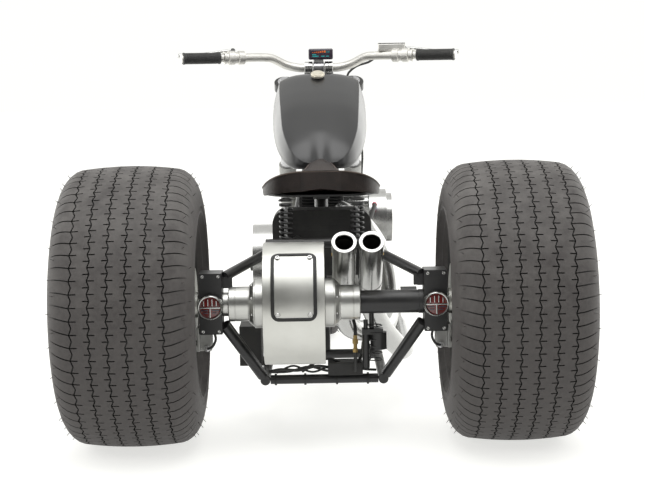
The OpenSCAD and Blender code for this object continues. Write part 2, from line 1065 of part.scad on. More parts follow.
module headlight() {
    lamp_y = fork_offset + 118;
    lamp_s = lower_yoke_s + 70;
    color([0.1, 0.1, 0.11])
        in_fork() {
            translate([0, lamp_y, lamp_s])
                rotate([-rake - 90, 0, 0]) {
                    cylinder(r = 78, h = 48);
                    translate([0, 0, -42])
                        cylinder(r1 = 40, r2 = 78, h = 43);
                }
            box([-14, fork_offset + 22 + seat_gap, lower_yoke_s + 2],
                [14, lamp_y - 10, lower_yoke_s + 24]);
        }
}

// The front disc runs on the right of the front wheel
front_disc_x = front_tyre_w / 2 + 9;
front_disc_t = 5;
caliper_turn = 42;

module front_caliper() {
    half = 30;
    inner = front_disc_r - 48;
    outer = front_disc_r + moving_gap + 14;
    color([0.7, 0.71, 0.73])
        in_fork()
            translate([0, fork_offset, 0])
                difference() {
                    union() {
                        rotate([caliper_turn, 0, 0])
                            box(
                                [front_disc_x - moving_gap - 9, -half, inner],
                                [front_disc_x + front_disc_t + moving_gap + 18, half, outer]
                            );
                        box(
                            [front_disc_x + front_disc_t + moving_gap + 2, -66, 96],
                            [fork_half_w, -slider_r + 6, 122]
                        );
                    }
                    rotate([caliper_turn, 0, 0])
                        box(
                            [front_disc_x - moving_gap, -half - 10, 0],
                            [front_disc_x + front_disc_t + moving_gap, half + 10,
                                front_disc_r + moving_gap]
                        );
                    translate([fork_half_w, 0, 0])
                        cylinder(r = slider_r - 2 + seat_gap, h = slider_top_s);
                }
}

brake_line_r = 4;
// Route of the front brake line on the fork, x and y from the steering axis
brake_line_route = [
    [196, 26, 868], [170, 40, 838], [128, 72, 800], [98, 98, 740], [112, 108, 640],
    [142, 100, 540], [153, 74, 430], [151, 59, 360], [149, 62, 250], [150, 34, 215], [124, -22, 185],
    [112, -38, 158]
];

module front_brake_line() {
    color([0.06, 0.06, 0.065])
        in_fork()
            difference() {
                swept(curve(brake_line_route, 3), brake_line_r, 8);
                translate([fork_half_w, fork_offset, 0]) {
                    cylinder(r = slider_r - 2 + seat_gap, h = slider_top_s);
                    translate([0, 0, slider_top_s - 40])
                        cylinder(r = slider_r + seat_gap, h = 40);
                }
            }
}

// ---- Wheels ----

// Outline of one half of a tyre, from the middle of the tread down to the bead, as [radius, x]
function tyre_side(r, half_w, bead_r, bead_x, drop, shoulder) =
    let (mid = bead_r + 0.41 * (r - bead_r))
    concat(
        [for (i = [0 : 4]) [r - drop * pow(i / 4, 2), (half_w - shoulder) * i / 4]],
        [for (p = arc_points(half_w - shoulder, mid, shoulder, r - drop - mid, 80, 0, 8))
            [p[1], p[0]]],
        [for (p = arc_points(bead_x, mid, half_w - bead_x, mid - bead_r, -15, -90, 5))
            [p[1], p[0]]]
    );

module tyre_shape(r, w, bead_r, bead_x, drop, shoulder) {
    side = tyre_side(r, w / 2, bead_r, bead_x, drop, shoulder);
    last = len(side) - 1;
    outline = concat(side, [for (i = [last : -1 : 1]) [side[i][0], -side[i][1]]]);
    rotate([0, 90, 0])
        rotate_extrude($fn = 96)
            polygon(outline);
}

// Outline of a rim barrel between its lips, as [radius, x]
function rim_outline(r, half_w, well, wall) = [
    [r, -half_w], [r, 6 - half_w], [r - 12, 9 - half_w], [r - 14, 40 - half_w],
    [r - well, 52 - half_w], [r - well, half_w - 52],
    [r - 14, half_w - 40], [r - 12, half_w - 9], [r, half_w - 6], [r, half_w],
    [r - 12 - wall, half_w], [r - 14 - wall, half_w - 44], [r - well - wall, half_w - 56],
    [r - well - wall, 56 - half_w], [r - 14 - wall, 44 - half_w], [r - 12 - wall, -half_w]
];

module rim_shape(r, half_w, well, wall) {
    rotate([0, 90, 0])
        rotate_extrude($fn = 96)
            polygon(rim_outline(r, half_w, well, wall));
}

rear_rim_half = (rear_tyre_w - 74) / 2;
rear_well = 34;
hub_r = 34;
// The spokes stand near the outer side of the wheel
spoke_x = rear_rim_half - 82;
spoke_t = 42;

// The right rear wheel about the middle of the axle
module rear_wheel_shape() {
    mid_x = track / 2;
    barrel_r = rear_rim_r - rear_well - rear_rim_wall + 2;
    translate([mid_x, 0, 0]) {
        rim_shape(rear_rim_r, rear_rim_half, rear_well, rear_rim_wall);
        for (i = [0 : 4])
            rotate([i * 72, 0, 0])
                box([spoke_x, -26, 30], [spoke_x + spoke_t, 26, barrel_r]);
        wheel_pin(62, spoke_x - 8, spoke_x + spoke_t + 14);
        wheel_pin(34, spoke_x + spoke_t + 13, spoke_x + spoke_t + 32);
    }
    wheel_pin(spindle_r, block_in_x + moving_gap, mid_x + spoke_x);
    wheel_pin(hub_r, block_out_x + moving_gap, mid_x + spoke_x);
    wheel_pin(rear_disc_r, disc_in_x, disc_in_x + disc_t);
}

module rear_tyre_shape() {
    translate([track / 2, 0, 0])
        tyre_shape(
            rear_tyre_r, rear_tyre_w, rear_rim_r + seat_gap, rear_rim_half, 7, 69
        );
}

module rear_wheel_left() {
    color([0.76, 0.77, 0.78])
        at_axle()
            mirror([1, 0, 0])
                rear_wheel_shape();
}

module rear_wheel_right() {
    color([0.76, 0.77, 0.78])
        at_axle()
            rear_wheel_shape();
}

module rear_tyre_left() {
    color([0.13, 0.13, 0.13])
        at_axle()
            mirror([1, 0, 0])
                rear_tyre_shape();
}

module rear_tyre_right() {
    color([0.13, 0.13, 0.13])
        at_axle()
            rear_tyre_shape();
}

module front_wheel_place() {
    translate([0, axle_y + wheelbase, front_tyre_r])
        children();
}

module front_wheel() {
    rim_half = (front_tyre_w - 40) / 2;
    color([0.76, 0.77, 0.78])
        front_wheel_place()
            difference() {
                union() {
                    rim_shape_narrow(front_rim_r, rim_half);
                    for (i = [0 : 4])
                        rotate([i * 72, 0, 0])
                            box([-12, -18, 20], [12, 18, front_rim_r - 20]);
                    wheel_pin(38, -rim_half - 10, front_disc_x + 1);
                    wheel_pin(front_disc_r, front_disc_x, front_disc_x + front_disc_t);
                }
                wheel_pin(front_axle_r + running_gap, -fork_half_w, fork_half_w);
            }
}

module rim_shape_narrow(r, half_w) {
    rotate([0, 90, 0])
        rotate_extrude($fn = 96)
            polygon([
                [r, -half_w], [r, 5 - half_w], [r - 10, 8 - half_w], [r - 18, 20 - half_w],
                [r - 18, half_w - 20], [r - 10, half_w - 8], [r, half_w - 5], [r, half_w],
                [r - 16, half_w], [r - 24, half_w - 22], [r - 24, 22 - half_w], [r - 16, -half_w]
            ]);
}

module front_tyre() {
    color([0.13, 0.13, 0.13])
        front_wheel_place()
            tyre_shape(
                front_tyre_r, front_tyre_w, front_rim_r + seat_gap,
                (front_tyre_w - 40) / 2, 10, 46
            );
}

backbone();
downtubes();
lower_rails();
rear_stays();
cross_tubes();
axle_blocks();
axle_tubes();
axle_bells();
chain_case();
inspection_cover();
tail_lights();
rear_calipers();
exhaust_left();
exhaust_right();
crankcase();
rear_cylinder();
front_cylinder();
primary_cover();
gearbox();
air_cleaner();
oil_tank();
electrics_boxes();
oil_filter();
fuel_tank();
fuel_cap();
seat();
seat_springs();
foot_controls();
fork_yokes();
fork_tubes();
fork_sliders();
front_axle();
handlebar();
grips();
hand_controls();
dash();
headlight();
front_caliper();
front_brake_line();
rear_wheel_left();
rear_tyre_left();
rear_wheel_right();
rear_tyre_right();
front_wheel();
front_tyre();
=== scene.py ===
"""Looks of a motorized trike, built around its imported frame.

Every length is in metres, in the frame's own directions: +Y ahead, +X to the rider's right and
+Z up. Places come from the frame's nodes, so a piece follows the part that it dresses.
"""

import logging
import math
from collections.abc import Callable, Iterable, Sequence
from dataclasses import dataclass, field
from enum import Enum

import bmesh
import bpy
from mathutils import Matrix, Vector

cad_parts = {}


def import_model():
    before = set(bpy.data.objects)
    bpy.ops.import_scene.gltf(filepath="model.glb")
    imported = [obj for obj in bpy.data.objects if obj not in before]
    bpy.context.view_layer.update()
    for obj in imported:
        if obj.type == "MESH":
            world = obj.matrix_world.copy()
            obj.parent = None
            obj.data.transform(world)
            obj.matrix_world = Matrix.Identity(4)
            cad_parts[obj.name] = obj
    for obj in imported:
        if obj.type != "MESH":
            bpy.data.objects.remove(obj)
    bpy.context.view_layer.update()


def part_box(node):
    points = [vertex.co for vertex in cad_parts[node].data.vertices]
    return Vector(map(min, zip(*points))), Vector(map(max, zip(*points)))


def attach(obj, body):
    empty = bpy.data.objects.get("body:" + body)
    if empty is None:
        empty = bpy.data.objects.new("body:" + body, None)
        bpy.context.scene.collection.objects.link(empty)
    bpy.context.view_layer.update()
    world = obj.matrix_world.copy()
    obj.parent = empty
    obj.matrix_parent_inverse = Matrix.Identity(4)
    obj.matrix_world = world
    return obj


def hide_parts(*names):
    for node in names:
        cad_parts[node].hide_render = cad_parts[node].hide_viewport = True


LOG = logging.getLogger("trike")

Point = tuple[float, float, float]
Colour = tuple[float, float, float]
Pairs = Sequence[tuple[float, float]]
Spots = Sequence[tuple[Point, Point]]
Vertex = bmesh.types.BMVert
Mesh = bpy.types.Mesh
Piece = bpy.types.Object
Material = bpy.types.Material
Socket = bpy.types.NodeSocket
Group = bpy.types.NodeTree

FRAME_BODY = "frame"
STEERING_BODY = "steering"
FRONT_WHEEL_BODY = "front_wheel_body"

ORIGIN = (0, 0, 0)
RIGHT = (1, 0, 0)
LEFT = (-1, 0, 0)
BACK = (0.0, -1.0, 0.0)
UP = (0, 0, 1)
SIDES = (-1, 1)


class Side(Enum):
    """The two sides of the machine, each with the sign of its X."""

    LEFT = -1
    RIGHT = 1

    @property
    def label(self) -> str:
        """Name of the side as the frame's nodes spell it."""
        return self.name.lower()


class Grain(Enum):
    """How the marks of a finish run over it: the stretch that brushing gives them."""

    EVEN = None
    ALONG_X = (4.0, 160.0, 160.0)
    ALONG_Y = (160.0, 4.0, 160.0)
    ALONG_Z = (160.0, 160.0, 4.0)


# ---- Node trees ----


class Tree:
    """Short calls for adding and joining the nodes of one tree."""

    def __init__(self, tree: Group) -> None:
        """Keeps the tree that nodes are added to.

        Args:
            tree: The tree of a material or of a group.
        """
        self.tree = tree

    @classmethod
    def group(cls, kind: str, name: str, inputs: dict[str, tuple[str, object]],
              outputs: dict[str, str]) -> tuple["Tree", dict, dict]:
        """Makes an empty group with its sockets.

        Args:
            kind: Blender's name of the tree's type.
            name: Name of the group.
            inputs: Name of each input, with its type and default.
            outputs: Name of each output, with its type.

        Returns:
            The group, its input sockets and its output sockets by name.
        """
        made = cls(bpy.data.node_groups.new(name, kind))
        sockets = made.tree.interface
        for title, (form, default) in inputs.items():
            socket = sockets.new_socket(title, in_out="INPUT", socket_type=f"NodeSocket{form}")
            if default is not None:
                socket.default_value = default
        for title, form in outputs.items():
            sockets.new_socket(title, in_out="OUTPUT", socket_type=f"NodeSocket{form}")
        return made, made.add("NodeGroupInput").outputs, made.add("NodeGroupOutput").inputs

    def add(self, kind: str, feeds: dict[str | int, object] | None = None,
            **settings: object) -> bpy.types.Node:
        """Adds a node.

        Args:
            kind: Blender's name of the node type.
            feeds: What goes into its inputs, by their names or places.
            **settings: Properties set on the new node.

        Returns:
            The new node.
        """
        node = self.tree.nodes.new(kind)
        for name, value in settings.items():
            setattr(node, name, value)
        for name, value in (feeds or {}).items():
            self.feed(node.inputs[name], value)
        return node

    def feed(self, socket: Socket, value: object) -> None:
        """Links a socket to another, or sets its value.

        Args:
            socket: The input to fill.
            value: A socket, a number, a vector or a colour.
        """
        if isinstance(value, bpy.types.NodeSocket):
            self.tree.links.new(value, socket)
        elif isinstance(value, tuple) and len(value) == 3 and socket.type == "RGBA":
            socket.default_value = (*value, 1.0)
        else:
            socket.default_value = value

    def place(self) -> Socket:
        """Gives the object's own coordinates."""
        return self.add("ShaderNodeTexCoord").outputs["Object"]

    def noise(self, vector: Socket, scale: object, detail: float = 4.0,
              roughness: float = 0.5) -> Socket:
        """Adds a noise.

        Args:
            vector: Where the noise is read.
            scale: Its scale.
            detail: Its number of octaves.
            roughness: The strength of its finer octaves.

        Returns:
            The noise's value.
        """
        return self.add("ShaderNodeTexNoise", {
            "Vector": vector, "Scale": scale, "Detail": detail,
            "Roughness": roughness}).outputs["Fac"]

    def ramp(self, value: Socket, low: float, high: float, to_low: float = 0.0,
             to_high: float = 1.0) -> Socket:
        """Maps a range of a value onto another.

        Args:
            value: What is mapped.
            low: Value that becomes to_low.
            high: Value that becomes to_high.
            to_low: Result at low.
            to_high: Result at high.

        Returns:
            The result.
        """
        return self.add("ShaderNodeMapRange", {
            "Value": value, "From Min": low, "From Max": high, "To Min": to_low,
            "To Max": to_high}).outputs["Result"]

    def mix(self, factor: Socket, one: object, other: object) -> Socket:
        """Mixes two colours.

        Args:
            factor: Share of the second colour.
            one: The first colour.
            other: The second colour.

        Returns:
            The mixed colour.
        """
        return self.add("ShaderNodeMix", {0: factor, 6: one, 7: other},
                        data_type="RGBA").outputs[2]

    def math(self, what: str, one: object, other: object = 0.0) -> Socket:
        """Works out a number from one or two others.

        Args:
            what: Name of the operation.
            one: The first number.
            other: The second number.

        Returns:
            The result.
        """
        return self.add("ShaderNodeMath", {0: one, 1: other}, operation=what).outputs[0]


class Effects:
    """The shader groups that several finishes share, each built once."""

    def __init__(self) -> None:
        """Builds the groups."""
        self.mottle = self._mottle()
        self.grain = self._grain()
        self.brushed = self._brushed()
        self.dust = self._dust()

    @staticmethod
    def _mottle() -> Group:
        """Builds soft patches between two colours."""
        tree, given, out = Tree.group(
            "ShaderNodeTree", "mottle",
            {"Base": ("Color", (0.1, 0.1, 0.1, 1)), "Patch": ("Color", (0.2, 0.2, 0.2, 1)),
             "Scale": ("Float", 8.0)}, {"Colour": "Color", "Mask": "Float"})
        mask = tree.ramp(tree.noise(tree.place(), given["Scale"], 6.0, 0.6), 0.36, 0.66)
        tree.feed(out["Colour"], tree.mix(mask, given["Base"], given["Patch"]))
        tree.feed(out["Mask"], mask)
        return tree.tree

    @staticmethod
    def _grain() -> Group:
        """Builds the fine uneven surface of a cast, sprayed or moulded piece."""
        tree, given, out = Tree.group(
            "ShaderNodeTree", "fine_grain",
            {"Scale": ("Float", 400.0), "Coarse": ("Float", 0.25)}, {"Height": "Float"})
        place = tree.place()
        fine = tree.noise(place, given["Scale"], 3.0)
        wide = tree.noise(place, tree.math("MULTIPLY", given["Scale"], 0.12), 2.0)
        part = tree.math("MULTIPLY", wide, given["Coarse"])
        tree.feed(out["Height"], tree.math("ADD", fine, part))
        return tree.tree

    @staticmethod
    def _brushed() -> Group:
        """Builds long thin marks that run along one direction."""
        tree, given, out = Tree.group(
            "ShaderNodeTree", "brushed",
            {"Stretch": ("Vector", Grain.ALONG_X.value), "Scale": ("Float", 5.0)},
            {"Height": "Float"})
        place = tree.add("ShaderNodeVectorMath", {0: tree.place(), 1: given["Stretch"]},
                         operation="MULTIPLY")
        tree.feed(out["Height"], tree.noise(place.outputs[0], given["Scale"], 4.0, 0.65))
        return tree.tree

    @staticmethod
    def _dust() -> Group:
        """Builds dust that lies on what faces up."""
        tree, given, out = Tree.group(
            "ShaderNodeTree", "dust",
            {"Base": ("Color", (0.1, 0.1, 0.1, 1)), "Dust": ("Color", (0.35, 0.33, 0.3, 1)),
             "Amount": ("Float", 0.2)}, {"Colour": "Color", "Mask": "Float"})
        normal = tree.add("ShaderNodeNewGeometry").outputs["Normal"]
        up = tree.add("ShaderNodeSeparateXYZ", {0: normal}).outputs["Z"]
        patches = tree.ramp(tree.noise(tree.place(), 14.0, 5.0, 0.7), 0.35, 0.75)
        lying = tree.math("MULTIPLY", tree.ramp(up, -0.3, 1.0), patches)
        mask = tree.math("MULTIPLY", lying, given["Amount"])
        tree.feed(out["Colour"], tree.mix(mask, given["Base"], given["Dust"]))
        tree.feed(out["Mask"], mask)
        return tree.tree


# ---- Finishes ----


@dataclass(frozen=True)
class Finish:
    """A surface finish with uneven colour, uneven gloss and a fine bump.

    The colours are linear. bump is the depth of the marks in metres.
    """

    name: str
    base: Colour
    patch: Colour
    patch_scale: float = 9.0
    metallic: float = 0.0
    gloss: tuple[float, float] = (0.35, 0.45)
    grain_scale: float = 500.0
    bump: float = 0.00003
    grain: Grain = Grain.EVEN
    dust: float = 0.0
    dust_colour: Colour = (0.34, 0.32, 0.29)
    coat: float = 0.0
    coat_roughness: float = 0.08
    specular: float = 0.5

    def height(self, tree: Tree, effects: Effects) -> Socket:
        """Gives the height that the bump follows.

        Args:
            tree: The material's tree.
            effects: The shared groups.

        Returns:
            The height.
        """
        if self.grain is Grain.EVEN:
            return tree.add("ShaderNodeGroup", {"Scale": self.grain_scale},
                            node_tree=effects.grain).outputs["Height"]
        return tree.add("ShaderNodeGroup", {"Stretch": self.grain.value},
                        node_tree=effects.brushed).outputs["Height"]

    def make(self, effects: Effects) -> Material:
        """Builds the finish's material.

        Args:
            effects: The shared groups.

        Returns:
            The material.
        """
        material = bpy.data.materials.new(self.name)
        material.use_nodes = True
        material.node_tree.nodes.clear()
        tree = Tree(material.node_tree)
        mottle = tree.add("ShaderNodeGroup", {
            "Base": self.base, "Patch": self.patch, "Scale": self.patch_scale},
            node_tree=effects.mottle).outputs
        dust = tree.add("ShaderNodeGroup", {
            "Base": mottle["Colour"], "Dust": self.dust_colour, "Amount": self.dust},
            node_tree=effects.dust).outputs
        height = self.height(tree, effects)
        worn = tree.math("ADD", mottle["Mask"], dust["Mask"])
        spread = tree.math("ADD", tree.math("MULTIPLY", worn, 0.5),
                           tree.math("MULTIPLY", height, 0.5))
        bump = tree.add("ShaderNodeBump", {
            "Strength": 1.0, "Distance": self.bump, "Height": height})
        surface = tree.add("ShaderNodeBsdfPrincipled", {
            "Base Color": dust["Colour"], "Metallic": self.metallic,
            "Roughness": tree.ramp(spread, 0.1, 0.8, *self.gloss),
            "Specular IOR Level": self.specular, "Coat Weight": self.coat,
            "Coat Roughness": self.coat_roughness, "Normal": bump.outputs["Normal"]})
        tree.add("ShaderNodeOutputMaterial", {"Surface": surface.outputs[0]})
        return material


@dataclass(frozen=True)
class Leather(Finish):
    """Saddle leather with pebbled grain broken by creases."""

    cell: float = 420.0

    def height(self, tree: Tree, effects: Effects) -> Socket:
        """Gives the height of the leather's pebbles; see Finish.height."""
        place = tree.place()
        cells = tree.add("ShaderNodeTexVoronoi", feature="SMOOTH_F1")
        tree.feed(cells.inputs["Vector"], place)
        tree.feed(cells.inputs["Scale"], self.cell)
        pebble = tree.ramp(cells.outputs["Distance"], 0.1, 0.7, 1.0, 0.0)
        crease = tree.ramp(tree.noise(place, 60.0, 6.0, 0.7), 0.3, 0.6)
        return tree.math("MULTIPLY", pebble, crease)


@dataclass(frozen=True)
class Lens(Finish):
    """Lamp lens with a fine waffle pressed into a clear colour."""

    ring: float = 900.0

    def height(self, tree: Tree, effects: Effects) -> Socket:
        """Gives the height of the waffle along X and Z; see Finish.height."""
        split = tree.add("ShaderNodeSeparateXYZ", {0: tree.place()}).outputs
        across, down = (tree.math("SINE", tree.math("MULTIPLY", split[axis], self.ring))
                        for axis in ("X", "Z"))
        return tree.math("MULTIPLY", across, down)



class Finishes:
    """Every finish of the machine, made into materials when first asked for."""

    TYRE = Finish("tyre_rubber", (0.046, 0.041, 0.040), (0.066, 0.060, 0.058), 90.0,
                  gloss=(0.5, 0.72), grain_scale=520.0, bump=0.00025, dust=0.6,
                  dust_colour=(0.21, 0.20, 0.19), specular=0.4)
    BLACK = Finish("black_enamel", (0.012, 0.012, 0.013), (0.02, 0.02, 0.021), 12.0,
                   gloss=(0.25, 0.42), grain_scale=900.0, bump=0.00002, dust=0.12)
    SATIN_TANK = Finish("tank_satin_black", (0.009, 0.009, 0.010), (0.013, 0.013, 0.014), 5.0,
                        gloss=(0.30, 0.36), grain_scale=1600.0, bump=0.000008,
                        coat=0.25, coat_roughness=0.30)
    MATT_BLACK = Finish("matt_black", (0.016, 0.016, 0.016), (0.03, 0.029, 0.028), 18.0,
                        gloss=(0.5, 0.7), grain_scale=650.0, bump=0.00006, dust=0.2)
    BRUSHED_X = Finish("brushed_aluminium_x", (0.56, 0.56, 0.53), (0.66, 0.66, 0.63), 6.0,
                       metallic=1.0, gloss=(0.34, 0.5), grain=Grain.ALONG_X, bump=0.00003)
    BRUSHED_Z = Finish("brushed_aluminium_z", (0.56, 0.56, 0.53), (0.66, 0.66, 0.63), 6.0,
                       metallic=1.0, gloss=(0.34, 0.5), grain=Grain.ALONG_Z, bump=0.00003)
    TURNED = Finish("turned_aluminium", (0.52, 0.52, 0.50), (0.62, 0.62, 0.60), 7.0,
                    metallic=1.0, gloss=(0.28, 0.42), grain=Grain.ALONG_Y, bump=0.00002)
    CAST = Finish("cast_aluminium", (0.30, 0.30, 0.29), (0.42, 0.42, 0.41), 14.0,
                  metallic=0.9, gloss=(0.42, 0.62), grain_scale=420.0, bump=0.0003, dust=0.3)
    POLISHED = Finish("polished_metal", (0.46, 0.46, 0.45), (0.56, 0.56, 0.55), 5.0,
                      metallic=1.0, gloss=(0.16, 0.28), grain_scale=900.0, bump=0.000006)
    STEEL = Finish("bolt_steel", (0.42, 0.42, 0.43), (0.56, 0.56, 0.57), 60.0,
                   metallic=1.0, gloss=(0.22, 0.4), grain_scale=1500.0, bump=0.00001)
    SATIN_STEEL = Finish("satin_steel", (0.58, 0.57, 0.54), (0.68, 0.67, 0.64), 9.0,
                         metallic=1.0, gloss=(0.36, 0.5), grain_scale=1100.0, bump=0.00001)
    PIPING = Finish("saddle_piping", (0.07, 0.052, 0.042), (0.12, 0.09, 0.075), 40.0,
                    gloss=(0.45, 0.6), grain_scale=900.0, bump=0.00006)
    BRASS = Finish("brass", (0.62, 0.42, 0.16), (0.74, 0.54, 0.24), 40.0,
                   metallic=1.0, gloss=(0.2, 0.36), grain_scale=1200.0, bump=0.00001)
    IVORY = Finish("cap_nickel", (0.58, 0.54, 0.44), (0.70, 0.66, 0.56), 60.0,
                   metallic=0.7, gloss=(0.25, 0.4), grain_scale=900.0, bump=0.00002)
    RUBBER = Finish("moulded_rubber", (0.012, 0.012, 0.012), (0.022, 0.022, 0.021), 30.0,
                    gloss=(0.45, 0.62), grain_scale=1300.0, bump=0.00004, dust=0.1)
    GASKET = Finish("gasket", (0.008, 0.008, 0.008), (0.014, 0.014, 0.014), 40.0,
                    gloss=(0.4, 0.6), grain_scale=900.0, bump=0.00003)
    SOOT = Finish("pipe_soot", (0.01, 0.009, 0.008), (0.03, 0.026, 0.022), 40.0,
                  gloss=(0.7, 0.9), grain_scale=500.0, bump=0.0002)
    LEATHER = Leather("saddle_leather", (0.012, 0.008, 0.007), (0.026, 0.017, 0.014), 16.0,
                      gloss=(0.34, 0.52), bump=0.0004, specular=0.45)
    LENS_RED = Lens("red_lens", (0.085, 0.003, 0.003), (0.15, 0.006, 0.005), 40.0,
                    gloss=(0.08, 0.16), bump=0.00025, coat=1.0)
    DARK_PLASTIC = Finish("dash_plastic", (0.03, 0.022, 0.036), (0.05, 0.036, 0.055), 30.0,
                          gloss=(0.1, 0.22), bump=0.00001, coat=0.6)
    TEAL = Finish("dash_teal", (0.02, 0.30, 0.30), (0.03, 0.4, 0.4), 60.0, gloss=(0.2, 0.3))
    ORANGE = Finish("dash_orange", (0.65, 0.12, 0.02), (0.8, 0.2, 0.04), 60.0, gloss=(0.2, 0.3))
    GLASS = Finish("lamp_glass", (0.55, 0.57, 0.6), (0.7, 0.72, 0.75), 40.0,
                   metallic=0.6, gloss=(0.03, 0.08), bump=0.00002, coat=1.0)
    BLUE_HOSE = Finish("blue_fitting", (0.02, 0.06, 0.35), (0.03, 0.09, 0.5), 60.0,
                       metallic=0.6, gloss=(0.2, 0.3))
    RED_HOSE = Finish("red_fitting", (0.4, 0.02, 0.02), (0.55, 0.03, 0.03), 60.0,
                      metallic=0.6, gloss=(0.2, 0.3))

    def __init__(self) -> None:
        """Builds the shared groups and an empty store of materials."""
        self.effects = Effects()
        self._made: dict[str, Material] = {}

    def __call__(self, finish: Finish) -> Material:
        """Gives a finish's material.

        Args:
            finish: The finish asked for.

        Returns:
            Its material, built once.
        """
        if finish.name not in self._made:
            self._made[finish.name] = finish.make(self.effects)
        return self._made[finish.name]


# ---- Drawing meshes ----


def smooth_route(points: Sequence[Point], steps: int) -> list[Vector]:
    """Draws a smooth curve through points.

    Args:
        points: The points of the route, from its start to its end.
        steps: Steps between two points.

    Returns:
        The points of the curve.
    """
    given = [Vector(point) for point in points]
    last = len(given) - 1
    route = []
    for i in range(last):
        a, b = given[max(i - 1, 0)], given[i]
        c, d = given[i + 1], given[min(i + 2, last)]
        for k in range(steps):
            t = k / steps
            route.append(((2 * b) + (c - a) * t + (2 * a - 5 * b + 4 * c - d) * t**2
                          + (3 * b - a - 3 * c + d) * t**3) / 2)
    route.append(given[last])
    return route


def mm(*pairs: tuple[float, float]) -> Pairs:
    """Turns pairs given in millimetres into metres."""
    return [(one / 1000, other / 1000) for one, other in pairs]


def side_of(direction: Vector) -> Vector:
    """Gives some direction square to another."""
    helper = Vector((0, 0, 1)) if abs(direction.z) < 0.8 else Vector((1, 0, 0))
    return direction.cross(helper).normalized()


class Marks:
    """A smooth curve through a few marks, read by its first value."""

    def __init__(self, *marks: tuple[float, float]) -> None:
        """Draws the curve.

        Args:
            *marks: Pairs of values, the first of each rising.
        """
        self.points = smooth_route([(a, b, 0.0) for a, b in marks], 12)

    def __call__(self, at: float) -> float:
        """Reads the curve.

        Args:
            at: The first value.

        Returns:
            The second value there.
        """
        for one, other in zip(self.points, self.points[1:]):
            if at <= other.x:
                share = (at - one.x) / max(other.x - one.x, 1e-9)
                return one.y + (other.y - one.y) * max(0.0, share)
        return self.points[-1].y


